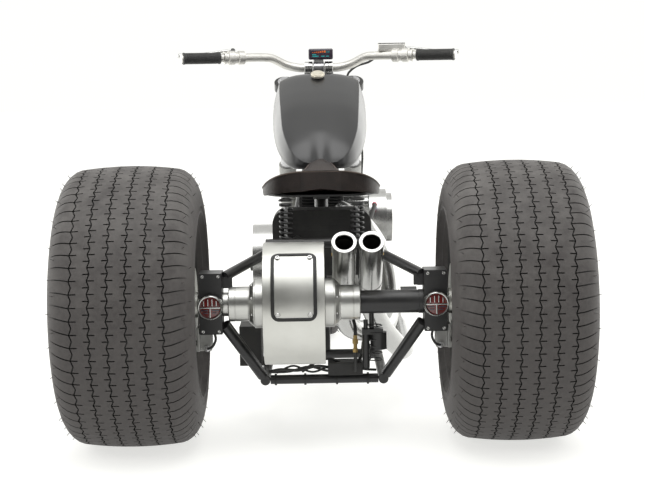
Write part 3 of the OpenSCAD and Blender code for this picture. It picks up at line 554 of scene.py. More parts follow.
class Draft:
    """A mesh being drawn, with a finish for each of its faces."""

    def __init__(self, *finishes: Finish) -> None:
        """Starts an empty mesh.

        Args:
            *finishes: The finishes that faces may take, by their place in this list.
        """
        self.mesh = bmesh.new()
        self.finishes = list(finishes)

    def skin(self, rings: list[list[Vertex]], part: int = 0, closed: bool = False) -> None:
        """Joins rings of vertices with faces.

        Args:
            rings: The rings; a ring of one vertex is a pole.
            part: Place of the faces' finish.
            closed: Whether the last ring joins the first.
        """
        pairs = list(zip(rings, rings[1:]))
        if closed:
            pairs.append((rings[-1], rings[0]))
        for one, other in pairs:
            count = max(len(one), len(other))
            for k in range(count):
                m = (k + 1) % count
                corners = [one[k % len(one)], one[m % len(one)],
                           other[m % len(other)], other[k % len(other)]]
                corners = list(dict.fromkeys(corners))
                if len(corners) > 2:
                    self.mesh.faces.new(corners).material_index = part

    def lathe(self, profile: Pairs, centre: Point, axis: Point,
              sides: int = 48, part: int = 0, closed: bool = False) -> None:
        """Turns a profile round an axis.

        Args:
            profile: Radius and distance along the axis of each point.
            centre: Where the axis starts.
            axis: Direction of the axis.
            sides: Steps round the axis.
            part: Place of the faces' finish.
            closed: Whether the profile closes on itself.
        """
        along = Vector(axis).normalized()
        u = side_of(along)
        v = along.cross(u)
        rings = []
        for radius, distance in profile:
            middle = Vector(centre) + along * distance
            if radius < 1e-6:
                rings.append([self.mesh.verts.new(middle)])
                continue
            rings.append([
                self.mesh.verts.new(middle + radius * (math.cos(a) * u + math.sin(a) * v))
                for a in (math.tau * k / sides for k in range(sides))
            ])
        self.skin(rings, part, closed)

    def tube(self, route: Sequence[Vector], radius: float | Callable[[float], float],
             sides: int = 24, part: int = 0, bore: float = 0.0) -> None:
        """Draws a round tube along a route, closed at its ends.

        Args:
            route: Points of the middle of the tube.
            radius: Its radius, or a rule that gives it from 0 at the start to 1 at the end.
            sides: Steps round the tube.
            part: Place of the faces' finish.
            bore: Depth of a rounded edge at each end, as a share of the radius.
        """
        last = len(route) - 1
        tangents = [(route[min(i + 1, last)] - route[max(i - 1, 0)]).normalized()
                    for i in range(last + 1)]
        u = side_of(tangents[0])
        rings = []
        for i, place in enumerate(route):
            u = (u - u.dot(tangents[i]) * tangents[i]).normalized()
            v = tangents[i].cross(u)
            size = radius(i / last) if callable(radius) else radius
            rings.append([
                self.mesh.verts.new(place + size * (math.cos(a) * u + math.sin(a) * v))
                for a in (math.tau * k / sides for k in range(sides))
            ])
        self.skin(rings, part)
        for ring, place, out in ((rings[0], route[0], -tangents[0]),
                                 (rings[-1], route[-1], tangents[-1])):
            dome = self.mesh.verts.new(place + out * bore)
            for k, vertex in enumerate(ring):
                pair = (vertex, ring[(k + 1) % len(ring)], dome)
                self.mesh.faces.new(pair).material_index = part

    def box(self, low: Point, high: Point, bevel: float = 0.002, part: int = 0,
            turn: Matrix | None = None, segments: int = 2) -> None:
        """Draws a box with rounded edges.

        Args:
            low: Its lowest corner.
            high: Its highest corner.
            bevel: Radius of its edges.
            part: Place of the faces' finish.
            turn: Placement of the box, if it isn't square to the machine.
            segments: Steps across a rounded edge.
        """
        made = bmesh.ops.create_cube(self.mesh, size=1.0)["verts"]
        low_v, high_v = Vector(low), Vector(high)
        for vertex in made:
            vertex.co = (low_v + high_v) / 2 + Vector(
                [c * s for c, s in zip(vertex.co, high_v - low_v)])
        if bevel > 0:
            edges = list(dict.fromkeys(e for v in made for e in v.link_edges))
            result = bmesh.ops.bevel(self.mesh, geom=edges, offset=bevel, segments=segments,
                                     profile=0.5, affect="EDGES")
            made = list(dict.fromkeys(v for f in result["faces"] for v in f.verts))
        for face in (f for v in made for f in v.link_faces):
            face.material_index = part
        if turn is not None:
            bmesh.ops.transform(self.mesh, matrix=turn, verts=made)

    def extrude(self, outline: Sequence[Point], reach: Point, bevel: float = 0.0015,
                part: int = 0) -> None:
        """Draws a flat outline as a thick plate.

        Args:
            outline: Corners of one face, in order.
            reach: From that face to the other.
            bevel: Radius of its edges.
            part: Place of the faces' finish.
        """
        near = [self.mesh.verts.new(p) for p in outline]
        far = [self.mesh.verts.new(Vector(p) + Vector(reach)) for p in outline]
        faces = [self.mesh.faces.new(near), self.mesh.faces.new(list(reversed(far)))]
        count = len(near)
        for k in range(count):
            m = (k + 1) % count
            faces.append(self.mesh.faces.new((near[k], far[k], far[m], near[m])))
        for face in faces:
            face.material_index = part
        if bevel > 0:
            rims = [e for f in faces[:2] for e in f.edges]
            bmesh.ops.bevel(self.mesh, geom=rims, offset=bevel, segments=2, profile=0.5,
                            affect="EDGES", material=part)

    def copy_of(self, node: str, bevel: float = 0.0012, part: int = 0) -> None:
        """Takes in a frame node's own shape, merged and with its sharp edges broken.

        Args:
            node: Name of the frame's node.
            bevel: Width of the broken edges; 0 leaves them sharp.
            part: Place of the faces' finish.
        """
        taken = bmesh.new()
        taken.from_mesh(bpy.data.objects[node].data)
        bmesh.ops.remove_doubles(taken, verts=taken.verts, dist=1e-5)
        bmesh.ops.dissolve_limit(taken, angle_limit=math.radians(0.4), verts=taken.verts,
                                 edges=taken.edges)
        if bevel > 0:
            sharp = [e for e in taken.edges
                     if len(e.link_faces) == 2 and e.calc_face_angle(0) > math.radians(40)]
            bmesh.ops.bevel(taken, geom=sharp, offset=bevel, segments=2, profile=0.5,
                            affect="EDGES", clamp_overlap=True)
        for face in taken.faces:
            face.material_index = part
        store = bpy.data.meshes.new("taken")
        taken.to_mesh(store)
        taken.free()
        self.mesh.from_mesh(store)
        bpy.data.meshes.remove(store)

    def take(self, other: Mesh, part: int) -> None:
        """Adds a finished mesh.

        Args:
            other: The mesh, which is removed after.
            part: Place of its faces' finish.
        """
        before = len(self.mesh.faces)
        self.mesh.from_mesh(other)
        self.mesh.faces.ensure_lookup_table()
        for face in self.mesh.faces[before:]:
            face.material_index = part
        bpy.data.meshes.remove(other)


class Workshop:
    """Turns drafts into finished pieces on the machine's bodies."""

    def __init__(self, finishes: Finishes) -> None:
        """Keeps the finishes.

        Args:
            finishes: The machine's finishes.
        """
        self.finishes = finishes

    def put(self, name: str, draft: Draft, body: str, slot: str = "",
            replaces: Iterable[str] = (), sharp: float = 32.0) -> Piece:
        """Makes a draft into a piece.

        Args:
            name: Name of the piece.
            draft: What is drawn.
            body: Body that it rides on.
            slot: Not used.
            replaces: Frame nodes that it stands for.
            sharp: Angle in degrees above which an edge stays sharp.

        Returns:
            The finished piece.
        """
        nodes = list(replaces)
        bmesh.ops.recalc_face_normals(draft.mesh, faces=draft.mesh.faces)
        mesh = bpy.data.meshes.new(name)
        draft.mesh.to_mesh(mesh)
        draft.mesh.free()
        for finish in draft.finishes:
            mesh.materials.append(self.finishes(finish))
        mesh.shade_smooth()
        mesh.set_sharp_from_angle(angle=math.radians(sharp))
        piece = bpy.data.objects.new(name, mesh)
        bpy.context.scene.collection.objects.link(piece)
        piece.modifiers.new("normals", "WEIGHTED_NORMAL").keep_sharp = True
        self.bake(piece)
        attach(piece, body)
        if nodes:
            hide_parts(*nodes)
        LOG.info("%s: %d faces on %s", name, len(piece.data.polygons), body)
        return piece

    @staticmethod
    def bake(piece: Piece) -> None:
        """Makes a piece's modifiers part of its mesh.

        Args:
            piece: The piece.
        """
        graph = bpy.context.evaluated_depsgraph_get()
        mesh = bpy.data.meshes.new_from_object(piece.evaluated_get(graph))
        old = piece.data
        piece.modifiers.clear()
        piece.data = mesh
        bpy.data.meshes.remove(old)
        mesh.name = piece.name

    def carried(self, node: str, body: str, finish: Finish, bevel: float,
                word: str = "dressed") -> None:
        """Dresses a frame node whose own shape is right.

        Args:
            node: Name of the node.
            body: Body that it rides on.
            finish: Its finish.
            bevel: Width of its broken edges.
            word: What its name ends with.
        """
        draft = Draft(finish)
        draft.copy_of(node, bevel)
        self.put(f"{node}_{word}", draft, body, replaces=[node])


# ---- Geometry Nodes ----


class Repeat:
    """Geometry Nodes trees that lay out what repeats, each built once."""

    def __init__(self) -> None:
        """Builds the trees."""
        self._ring = self._ring_tree()
        self._spots = self._spots_tree()
        self._coil = self._coil_tree()

    @staticmethod
    def _begin(name: str, inputs: dict[str, tuple[str, object]]) -> tuple[Tree, dict, dict]:
        """Starts a geometry tree.

        Args:
            name: Its name.
            inputs: Name of each of its own inputs, with its type and default.

        Returns:
            The tree, its input sockets and its output sockets by name.
        """
        return Tree.group("GeometryNodeTree", name, {
            "Geometry": ("Geometry", None), **inputs, "Material": ("Material", None)},
            {"Geometry": "Geometry"})

    @staticmethod
    def _end(tree: Tree, source: Socket, given: dict, out: dict) -> Group:
        """Ends a tree in Realize Instances and Set Material.

        Args:
            tree: The tree.
            source: Its geometry.
            given: Its input sockets.
            out: Its output sockets.

        Returns:
            The finished group.
        """
        realize = tree.add("GeometryNodeRealizeInstances", {0: source})
        dress = tree.add("GeometryNodeSetMaterial", {
            "Geometry": realize.outputs[0], "Material": given["Material"]})
        tree.feed(out["Geometry"], dress.outputs[0])
        return tree.tree

    @staticmethod
    def _turn(tree: Tree, axis: str, angle: Socket) -> Socket:
        """Turns each copy by its number times an angle.

        Args:
            tree: The tree.
            axis: Name of the axis turned about.
            angle: The angle.

        Returns:
            The turn of each copy.
        """
        number = tree.add("GeometryNodeInputIndex").outputs[0]
        return tree.add("ShaderNodeCombineXYZ", {
            axis: tree.math("MULTIPLY", number, angle)}).outputs[0]

    def _ring_tree(self) -> Group:
        """Builds copies turned round the X axis, each a step further along a direction."""
        tree, given, out = self._begin("repeat_round", {
            "Count": ("Int", 12), "Turn": ("Float", 0.5), "Step": ("Vector", (0.0, 0.0, 0.0))})
        line = tree.add("GeometryNodeMeshLine", {
            "Count": given["Count"], "Start Location": (0.0, 0.0, 0.0),
            "Offset": given["Step"]})
        copies = tree.add("GeometryNodeInstanceOnPoints", {
            "Points": line.outputs["Mesh"], "Instance": given["Geometry"],
            "Rotation": self._turn(tree, "X", given["Turn"])})
        return self._end(tree, copies.outputs[0], given, out)

    def _spots_tree(self) -> Group:
        """Builds copies of one object on points, each standing along the point's normal."""
        tree, given, out = self._begin("set_on_points", {
            "Piece": ("Object", None), "Spin": ("Float", 2.399)})
        stands = tree.add("GeometryNodeInputNamedAttribute", {"Name": "stands"},
                          data_type="FLOAT_VECTOR")
        align = tree.add("FunctionNodeAlignRotationToVector", {
            "Vector": stands.outputs["Attribute"]}, axis="Z")
        info = tree.add("GeometryNodeObjectInfo", {"Object": given["Piece"]})
        copies = tree.add("GeometryNodeInstanceOnPoints", {
            "Points": given["Geometry"], "Instance": info.outputs["Geometry"],
            "Rotation": align.outputs[0]})
        turned = tree.add("GeometryNodeRotateInstances", {
            "Instances": copies.outputs[0], "Rotation": self._turn(tree, "Z", given["Spin"])})
        return self._end(tree, turned.outputs[0], given, out)

    def _coil_tree(self) -> Group:
        """Builds a coil spring of round wire, standing on the origin along +Z."""
        tree, given, out = self._begin("coil_spring", {
            "Turns": ("Float", 6.0), "Radius": ("Float", 0.017), "Height": ("Float", 0.08),
            "Wire": ("Float", 0.004)})
        spiral = tree.add("GeometryNodeCurveSpiral", {
            "Resolution": 28, "Rotations": given["Turns"], "Start Radius": given["Radius"],
            "End Radius": given["Radius"], "Height": given["Height"]})
        wire = tree.add("GeometryNodeCurvePrimitiveCircle", {
            "Resolution": 12, "Radius": given["Wire"]})
        swept = tree.add("GeometryNodeCurveToMesh", {
            "Curve": spiral.outputs[0], "Profile Curve": wire.outputs[0], "Fill Caps": True})
        return self._end(tree, swept.outputs[0], given, out)

    @staticmethod
    def _run(tree: bpy.types.NodeTree, mesh: Mesh,
             values: dict[str, object]) -> Mesh:
        """Runs a tree on a mesh.

        Args:
            tree: The tree.
            mesh: The mesh that it starts from, which is removed after.
            values: Value of each named input.

        Returns:
            The plain mesh that it gives.
        """
        carrier = bpy.data.objects.new("carrier", mesh)
        bpy.context.scene.collection.objects.link(carrier)
        modifier = carrier.modifiers.new("tree", "NODES")
        modifier.node_group = tree
        for item in tree.interface.items_tree:
            if item.item_type == "SOCKET" and item.in_out == "INPUT" and item.name in values:
                modifier[item.identifier] = values[item.name]
        carrier.data.update()
        bpy.context.view_layer.update()
        graph = bpy.context.evaluated_depsgraph_get()
        result = bpy.data.meshes.new_from_object(carrier.evaluated_get(graph))
        bpy.data.objects.remove(carrier)
        bpy.data.meshes.remove(mesh)
        return result

    @staticmethod
    def _mesh(draft: Draft) -> Mesh:
        """Makes a draft into a bare mesh with smooth faces.

        Args:
            draft: What is drawn.

        Returns:
            Its mesh.
        """
        bmesh.ops.recalc_face_normals(draft.mesh, faces=draft.mesh.faces)
        mesh = bpy.data.meshes.new("pattern")
        draft.mesh.to_mesh(mesh)
        draft.mesh.free()
        mesh.shade_smooth()
        return mesh

    def round_x(self, draft: Draft, count: int, material: Material,
                turn: float | None = None, step: Point = (0, 0, 0)) -> Mesh:
        """Repeats a draft round the X axis.

        Args:
            draft: One copy, about the origin.
            count: Number of copies.
            material: Their material.
            turn: Angle between copies in radians, by default an even share of the circle.
            step: Move between copies.

        Returns:
            All the copies as one mesh.
        """
        values = {"Count": count, "Turn": math.tau / count if turn is None else turn,
                  "Step": step, "Material": material}
        return self._run(self._ring, self._mesh(draft), values)

    def on_points(self, draft: Draft, spots: Spots,
                  material: Material, spin: float = 2.399) -> Mesh:
        """Sets copies of a draft on points.

        Args:
            draft: One copy, standing on the origin along +Z.
            spots: Place and direction of each copy.
            material: Their material.
            spin: Turn of each copy about its direction, times its number.

        Returns:
            All the copies as one mesh.
        """
        points = bpy.data.meshes.new("spots")
        points.from_pydata([place for place, _ in spots], [], [])
        stands = points.attributes.new("stands", "FLOAT_VECTOR", "POINT")
        for item, (_, direction) in zip(stands.data, spots):
            item.vector = direction
        source = bpy.data.objects.new("source", self._mesh(draft))
        bpy.context.scene.collection.objects.link(source)
        values = {"Piece": source, "Spin": spin, "Material": material}
        result = self._run(self._spots, points, values)
        old = source.data
        bpy.data.objects.remove(source)
        bpy.data.meshes.remove(old)
        return result

    def coil(self, turns: float, radius: float, height: float, wire: float,
             material: Material) -> Mesh:
        """Makes a coil spring that stands on the origin.

        Args:
            turns: Number of turns.
            radius: Radius to the middle of the wire.
            height: Height between the wire's ends.
            wire: Radius of the wire.
            material: Its material.

        Returns:
            The spring's mesh.
        """
        values = {"Turns": turns, "Radius": radius, "Height": height, "Wire": wire,
                  "Material": material}
        return self._run(self._coil, bpy.data.meshes.new("start"), values)


def cap_screw(radius: float, height: float) -> Draft:
    """Draws a socket-head screw that stands on the origin.

    Args:
        radius: Radius of its head.
        height: Height of its head.

    Returns:
        The draft.
    """
    draft = Draft()
    edge = radius * 0.16
    draft.lathe([(0, 0), (radius, 0), (radius, height - edge), (radius - edge, height),
                 (radius * 0.55, height), (radius * 0.5, height * 0.45), (0, height * 0.45)],
                ORIGIN, UP, 12)
    return draft


def spots_round(centre: Point, r: float, angles: Iterable[float], out: int) -> Spots:
    """Lists places on a circle square to the X axis.

    Args:
        centre: Middle of the circle.
        r: Its radius.
        angles: Angle of each place, from straight ahead upwards.
        out: 1 if they face right, -1 if they face left.

    Returns:
        Place and direction of each.
    """
    x, y, z = centre
    return [((x, y + r * math.cos(a), z + r * math.sin(a)), (out, 0, 0)) for a in angles]


# ---- Tyres ----


@dataclass
class Tyre:
    """A tyre whose tread blocks, grooves and sipes are modelled pitch by pitch."""

    node: str
    body: str
    centre: Vector
    radius: float
    half: float
    crown: float
    crown_drop: float
    wide_r: float
    bead_r: float
    bead_half: float
    grooves: Sequence[float]
    pitches: int
    groove_half: float = 0.0017
    groove_depth: float = 0.0075
    sipe_depth: float = 0.0055
    zigzag: float = 0.0031
    sipe_share: float = 0.048
    hairs: int = 48

    def _crown_r(self, x: float) -> float:
        """Gives the radius of the outside of the tyre.

        Args:
            x: Distance from its middle plane, up to its widest place.

        Returns:
            The radius.
        """
        side = min(abs(x), self.half)
        if side <= self.crown:
            return self.radius - self.crown_drop * (side / self.crown) ** 2
        share = (side - self.crown) / (self.half - self.crown)
        height = self.radius - self.crown_drop - self.wide_r
        return self.wide_r + height * math.sqrt(max(0.0, 1 - share**2))

    def _rows(self) -> list[tuple[float, float, int, float]]:
        """Lists the lines that run round the tyre.

        Returns:
            For each line its distance from the middle, its radius, how much it follows the
            zigzag, and the depth of a sipe that crosses it.
        """
        rows: list[tuple[float, float, int, float]] = []
        for i, middle in enumerate(self.grooves):
            for edge in (-self.groove_half, self.groove_half):
                x = middle + edge
                rows.append((x, self._crown_r(x), 1, self.sipe_depth))
            if i + 1 < len(self.grooves):
                gap = self.grooves[i + 1] - middle
                for share in (0.40, 0.65):
                    x = middle + share * gap
                    rows.append((x, self._crown_r(x), 1, self.sipe_depth))
        outer = self.grooves[-1] + self.groove_half
        reach = self.half - self.crown
        shoulder = []
        for turn, depth in ((8, 1.0), (20, 1.0), (33, 0.8), (45, 0.45), (55, 0.0), (66, 0.0),
                            (78, 0.0), (90, 0.0)):
            x = self.crown + reach * math.sin(math.radians(turn))
            if x > outer + 0.002:
                shoulder.append((x, self._crown_r(x), 0, depth * self.sipe_depth))
        wall = self.wide_r - self.bead_r
        narrow = self.half - self.bead_half
        for down, inward in ((0.1, 0.0), (0.13, 0.05), (0.3, 0.08), (0.33, 0.02), (0.38, 0.02),
                             (0.41, 0.12), (0.62, 0.4), (0.66, 0.38), (0.72, 0.42),
                             (0.88, 0.78), (1.0, 1.0)):
            shoulder.append((self.half - narrow * inward, self.wide_r - wall * down, 0, 0.0))
        thick = self.half * 0.1
        for down, inward in ((1.0, 1.25), (0.7, 1.0), (0.0, 0.45)):
            shoulder.append((self.half - narrow * inward - thick * (1 - down * 0.8),
                             self.wide_r - wall * down, 0, 0.0))
        shoulder.append((self.crown, self.radius - self.crown_drop - 0.022, 0, 0.0))
        left = [(-x, r, z, d) for x, r, z, d in reversed(shoulder)]
        return left + rows + shoulder

    def _pitch(self) -> Draft:
        """Draws one pitch of the tyre as cells that are level with the tread or sunk in it."""
        rows = self._rows()
        step = math.tau / self.pitches
        w = self.sipe_share
        lines = [w, 0.5 - w, 0.5 + w, 1 - w, 1 + w]
        grooves = {i for i in range(len(rows) - 1)
                   if rows[i][2] and rows[i + 1][2]
                   and rows[i + 1][0] - rows[i][0] < 2.2 * self.groove_half}
        first, last = min(grooves), max(grooves)
        draft = Draft()
        known: dict[tuple[int, int, int], Vertex] = {}

        def level(i: int, j: int) -> int:
            """Tells whether a cell is tread (0), groove (1) or sipe (2)."""
            i, j = i % len(rows), j % 4
            if i in grooves:
                return 1
            if j == 3 and ((i - 1) in grooves or i < first or i > last) and max(
                    rows[i][3], rows[(i + 1) % len(rows)][3]) > 0:
                return 2
            if j == 1 and (i + 1) in grooves and first < i < last:
                return 2
            return 0

        def corner(i: int, j: int, depth: int) -> Vertex:
            """Gives the vertex of a line, a column and a level."""
            i = i % len(rows)
            x, r, follows, sunk = rows[i]
            down = (0.0, self.groove_depth, sunk)[depth]
            key = (i, j, 0 if down == 0 else depth)
            if key not in known:
                t = lines[j]
                wave = abs((t % 1.0) - 0.5) * 4 - 1
                bend = 0.0 if follows else max(0.0, abs(x) - self.crown) * 0.22
                turn = step * t + (bend / self.radius if r > self.wide_r else 0.0)
                here = x - wave * self.zigzag * follows
                known[key] = draft.mesh.verts.new(
                    (here, (r - down) * math.sin(turn), (r - down) * math.cos(turn)))
            return known[key]

        def face(corners: Sequence[Vertex]) -> None:
            """Adds a face unless it has no area."""
            kept = list(dict.fromkeys(corners))
            if len(kept) > 2:
                draft.mesh.faces.new(kept)

        for i in range(len(rows)):
            for j in range(4):
                here, beside, after = level(i, j), level(i + 1, j), level(i, j + 1)
                face([corner(i, j, here), corner(i + 1, j, here),
                      corner(i + 1, j + 1, here), corner(i, j + 1, here)])
                if here != beside:
                    face([corner(i + 1, j, here), corner(i + 1, j, beside),
                          corner(i + 1, j + 1, beside), corner(i + 1, j + 1, here)])
                if here != after:
                    face([corner(i, j + 1, here), corner(i + 1, j + 1, here),
                          corner(i + 1, j + 1, after), corner(i, j + 1, after)])
        return draft

    def build(self, shop: Workshop, repeat: Repeat) -> None:
        """Makes the tyre with its grooves, sipes and moulding hairs, with the faces sunk in its
        grooves and sipes darkened as painted shade.

        Args:
            shop: Where pieces are finished.
            repeat: The trees that lay out what repeats.
        """
        rubber = shop.finishes(Finishes.TYRE)
        draft = Draft(Finishes.TYRE, Finishes.RUBBER)
        draft.take(repeat.round_x(self._pitch(), self.pitches, rubber), 0)
        bmesh.ops.remove_doubles(draft.mesh, verts=draft.mesh.verts, dist=3e-5)
        # Faces sunk in the grooves and sipes take the darker moulded rubber: painted shade in the
        # tread's recesses.
        for face in draft.mesh.faces:
            middle = face.calc_center_median()
            radius = math.hypot(middle.y, middle.z)
            if abs(middle.x) < self.half * 0.85 and (
                    self._crown_r(middle.x) - radius > 0.0012):
                face.material_index = 1
        hair = Draft()
        hair.lathe(mm(
            (0, -1), (1, -1), (0.7, 9), (0, 10.5)), ORIGIN, UP, 5)
        spots = []
        for side in SIDES:
            for k in range(self.hairs):
                turn = math.tau * (k + 0.3 * side) / self.hairs
                x = side * (self.crown + (self.half - self.crown) * (0.62, 0.86)[k % 2])
                r = self._crown_r(x)
                out = Vector((0.8 * side, math.sin(turn), math.cos(turn))).normalized()
                spots.append(((x, r * math.sin(turn), r * math.cos(turn)), tuple(out)))
        draft.take(repeat.on_points(hair, spots, rubber), 0)
        bmesh.ops.translate(draft.mesh, verts=draft.mesh.verts, vec=self.centre)
        shop.put(f"{self.node}_tread", draft, self.body, replaces=[self.node], sharp=38)


# ---- Places on the machine ----

AXLE_Y, AXLE_Z = -0.83, 0.37
REAR_AXLE = Vector((0.0, AXLE_Y, AXLE_Z))
FRONT_AXLE = Vector((0.0, 0.87, 0.33))
AXIS_FOOT = Vector((0.0, 0.828548, 0.30204))
RAKE = math.radians(34)


def from_axle(x: float, y: float, z: float) -> Vector:
    """Places a point given in millimetres from below the rear axle."""
    return Vector((x / 1000, y / 1000 + AXLE_Y, z / 1000))


def axle_route(points: Sequence[Point], steps: int) -> list[Vector]:
    """Draws a smooth curve through points given as from_axle takes them.

    Args:
        points: The points in millimetres.
        steps: Steps between two points.

    Returns:
        The points of the curve.
    """
    return smooth_route([from_axle(*point) for point in points], steps)


def on_fork(x: float, forward: float, along: float) -> Vector:
    """Places a point given in millimetres on the fork: across, square to it and along it."""
    f, s = forward / 1000, along / 1000
    return AXIS_FOOT + Vector((x / 1000, f * math.cos(RAKE) - s * math.sin(RAKE),
                               f * math.sin(RAKE) + s * math.cos(RAKE)))


FORK_TURN = Matrix.Translation(AXIS_FOOT) @ Matrix.Rotation(RAKE, 4, "X")
ALONG_FORK = (0.0, -math.sin(RAKE), math.cos(RAKE))
BAR = on_fork(0, 0, 846)


# ---- Sub-assemblies ----


@dataclass
class Section:
    """A part of the machine, and what its pieces are made with."""

    shop: Workshop
    repeat: Repeat

    def screws(self, draft: Draft, radius: float, height: float, spots: Spots,
               part: int) -> None:
        """Sets cap screws on a draft.

        Args:
            draft: What they are added to.
            radius: Radius of their heads.
            height: Height of their heads.
            spots: Place and direction of each.
            part: Place of their finish.
        """
        material = self.shop.finishes(draft.finishes[part])
        draft.take(self.repeat.on_points(cap_screw(radius, height), spots, material), part)

    def stack(self, draft: Draft, one: Draft, count: int, step: Point) -> None:
        """Adds copies of a shape to a draft, each a step further on.

        Args:
            draft: What they are added to, in its first finish.
            one: The shape.
            count: Number of copies.
            step: Move between copies.
        """
        material = self.shop.finishes(draft.finishes[0])
        draft.take(self.repeat.round_x(one, count, material, 0.0, step), 0)

    def put(self, name: str, draft: Draft, *nodes: str, **settings: object) -> Piece:
        """Makes a draft into a piece on the frame's body.

        Args:
            name: Name of the piece.
            draft: What is drawn.
            *nodes: Frame nodes that it stands for.
            **settings: What else Workshop.put takes.

        Returns:
            The finished piece.
        """
        return self.shop.put(name, draft, FRAME_BODY, replaces=nodes, **settings)


class Chassis(Section):
    """The tube frame, the tail blocks, and the lamps and calipers on them."""

    def frame_tubes(self) -> None:
        """Dresses the painted tubes."""
        for node in ("backbone", "downtubes", "lower_rails", "rear_stays", "cross_tubes"):
            self.shop.carried(node, FRAME_BODY, Finishes.BLACK, 0.001)

    def blocks(self) -> None:
        """Makes the milled blocks with their screws."""
        draft = Draft(Finishes.BLACK, Finishes.POLISHED)
        draft.copy_of("axle_blocks", 0.0022)
        spots = [((x, -0.8699, z), BACK)
                 for x in (-0.317, -0.275, 0.275, 0.317) for z in (0.303, 0.449)]
        self.screws(draft, 0.0045, 0.0006, spots, 1)
        self.put("axle_blocks_milled", draft, "axle_blocks")

    def lamps(self) -> None:
        """Makes the two round tail lamps."""
        draft = Draft(Finishes.POLISHED, Finishes.LENS_RED, Finishes.DARK_PLASTIC)
        for side in SIDES:
            centre = Vector((side * 0.296, 0.0, AXLE_Z))
            draft.lathe(mm(
                (26, -870.2), (31, -870.2), (34, -873), (34, -887), (32.5, -892.5), (30.2, -895),
                (28.5, -894.4), (27.8, -891), (27.8, -874)), centre, (0, 1, 0), 56, 0,
                closed=True)
            draft.lathe(mm(
                (0, -874), (27.9, -874), (27.9, -889.5), (24, -891.2), (15, -892.6), (6, -893.2),
                (0, -893.3)), centre, (0, 1, 0), 48, 1)
            bars = [((-0.0272, -0.8948, -0.0018), (0.0272, -0.890, 0.0018), 0.0007, 0),
                    ((-0.0016, -0.8948, -0.0262), (0.0016, -0.8895, -0.001), 0.0006, 0)]
            for k, tall in enumerate((0.0135, 0.018, 0.018, 0.0135)):
                x = -0.0165 + 0.011 * k
                bars.append(((x - 0.0013, -0.8945, 0.0045), (x + 0.0013, -0.8895, 0.0045 + tall),
                             0.0005, 0))
            for x, z, wide in ((-0.0145, -0.007, 0.009), (0.0145, -0.007, 0.009),
                               (-0.0115, -0.0135, 0.006), (0.0115, -0.0135, 0.006)):
                bars.append(((x - wide, -0.8938, z - 0.0015), (x + wide, -0.8895, z + 0.0015),
                             0.0005, 2))
            for low, high, bevel, part in bars:
                draft.box(low, high, bevel, part, Matrix.Translation(centre))
        self.put("tail_lamps", draft, "tail_lights")

    def calipers(self) -> None:
        """Makes the rear calipers with their pistons, bolts and bleed screws."""
        draft = Draft(Finishes.CAST, Finishes.POLISHED)
        draft.copy_of("rear_calipers", 0.003)
        for side in SIDES:
            for y in (-0.851, -0.809):
                draft.lathe(mm(
                    (0, 0), (5.2, 0), (5.2, 1.2), (4.4, 2.2), (0, 2.2)),
                    (side * 0.306, y, 0.2605), (-side, 0, 0), 6, 1)
            draft.lathe(mm(
                (0, 0), (12, 0), (12, 1), (10, 2.2), (0, 2.2)), (side * 0.306, -0.8315, 0.276),
                (-side, 0, 0), 32, 1)
        self.put("rear_calipers_cast", draft, "rear_calipers")

    def lines(self) -> None:
        """Makes the hoses and wires along the rear cross tube, and the brass fitting."""
        draft = Draft(Finishes.RUBBER, Finishes.BRASS, Finishes.STEEL)
        routes = (
            ((-150, 70, 172), (-118, 55, 181), (-70, 68, 176), (-20, 60, 188), (30, 72, 180),
             (80, 62, 190), (112, 76, 226)),
            ((-146, 78, 170), (-96, 62, 174), (-40, 74, 184), (14, 58, 175), (60, 74, 186),
             (104, 62, 178), (140, 78, 172)),
            ((-128, 66, 170), (-84, 80, 186), (-30, 62, 172), (36, 80, 190), (88, 66, 174),
             (124, 70, 204), (118, 66, 262)),
            ((-60, 78, 170), (-24, 70, 196), (16, 74, 205), (58, 70, 190), (96, 82, 200),
             (106, 76, 250)))
        for route, radius in zip(routes, (0.0042, 0.0034, 0.0028, 0.0036)):
            draft.tube(axle_route(route, 12), radius, 16, 0, 0.001)
        for x in (-132, -52, 34, 118):
            draft.lathe(mm(
                (14.8, -3), (15.8, -2.6), (15.8, 2.6), (14.8, 3)), from_axle(x, 75, 150), RIGHT,
                40, 0, closed=True)
        draft.tube(axle_route(((84, 44, 176), (84, 28, 200), (84, 20, 232)), 10), 0.0046, 20, 0,
                   0.001)
        draft.lathe(mm(
            (0, 0), (7.5, 0), (7.5, 9), (5.8, 10.5), (5.8, 22), (8.8, 23.5), (8.8, 33.5),
            (6.2, 35.5), (6.2, 46), (0, 47)), from_axle(84, 20, 232), UP, 6, 1)
        draft.tube(axle_route(((84, 20, 276), (84, 26, 300), (78, 60, 322)), 10), 0.0046, 20, 0,
                   0.001)
        for side in SIDES:
            hose = [(side * 288, -34, 300), (side * 284, -46, 284), (side * 292, -50, 266),
                    (side * 306, -42, 258)]
            draft.tube(axle_route(hose, 10), 0.0034, 16, 0, 0.001)
            draft.lathe(mm(
                (0, 0), (7.8, 0), (7.8, 6), (5, 7.5), (0, 7.8)), from_axle(side * 308, -35, 258),
                BACK, 24, 2)
        self.put("lines_and_fittings", draft, slot="lower_rails")

    def build(self) -> None:
        """Makes the whole chassis."""
        self.lines()
        self.frame_tubes()
        self.blocks()
        self.lamps()
        self.calipers()


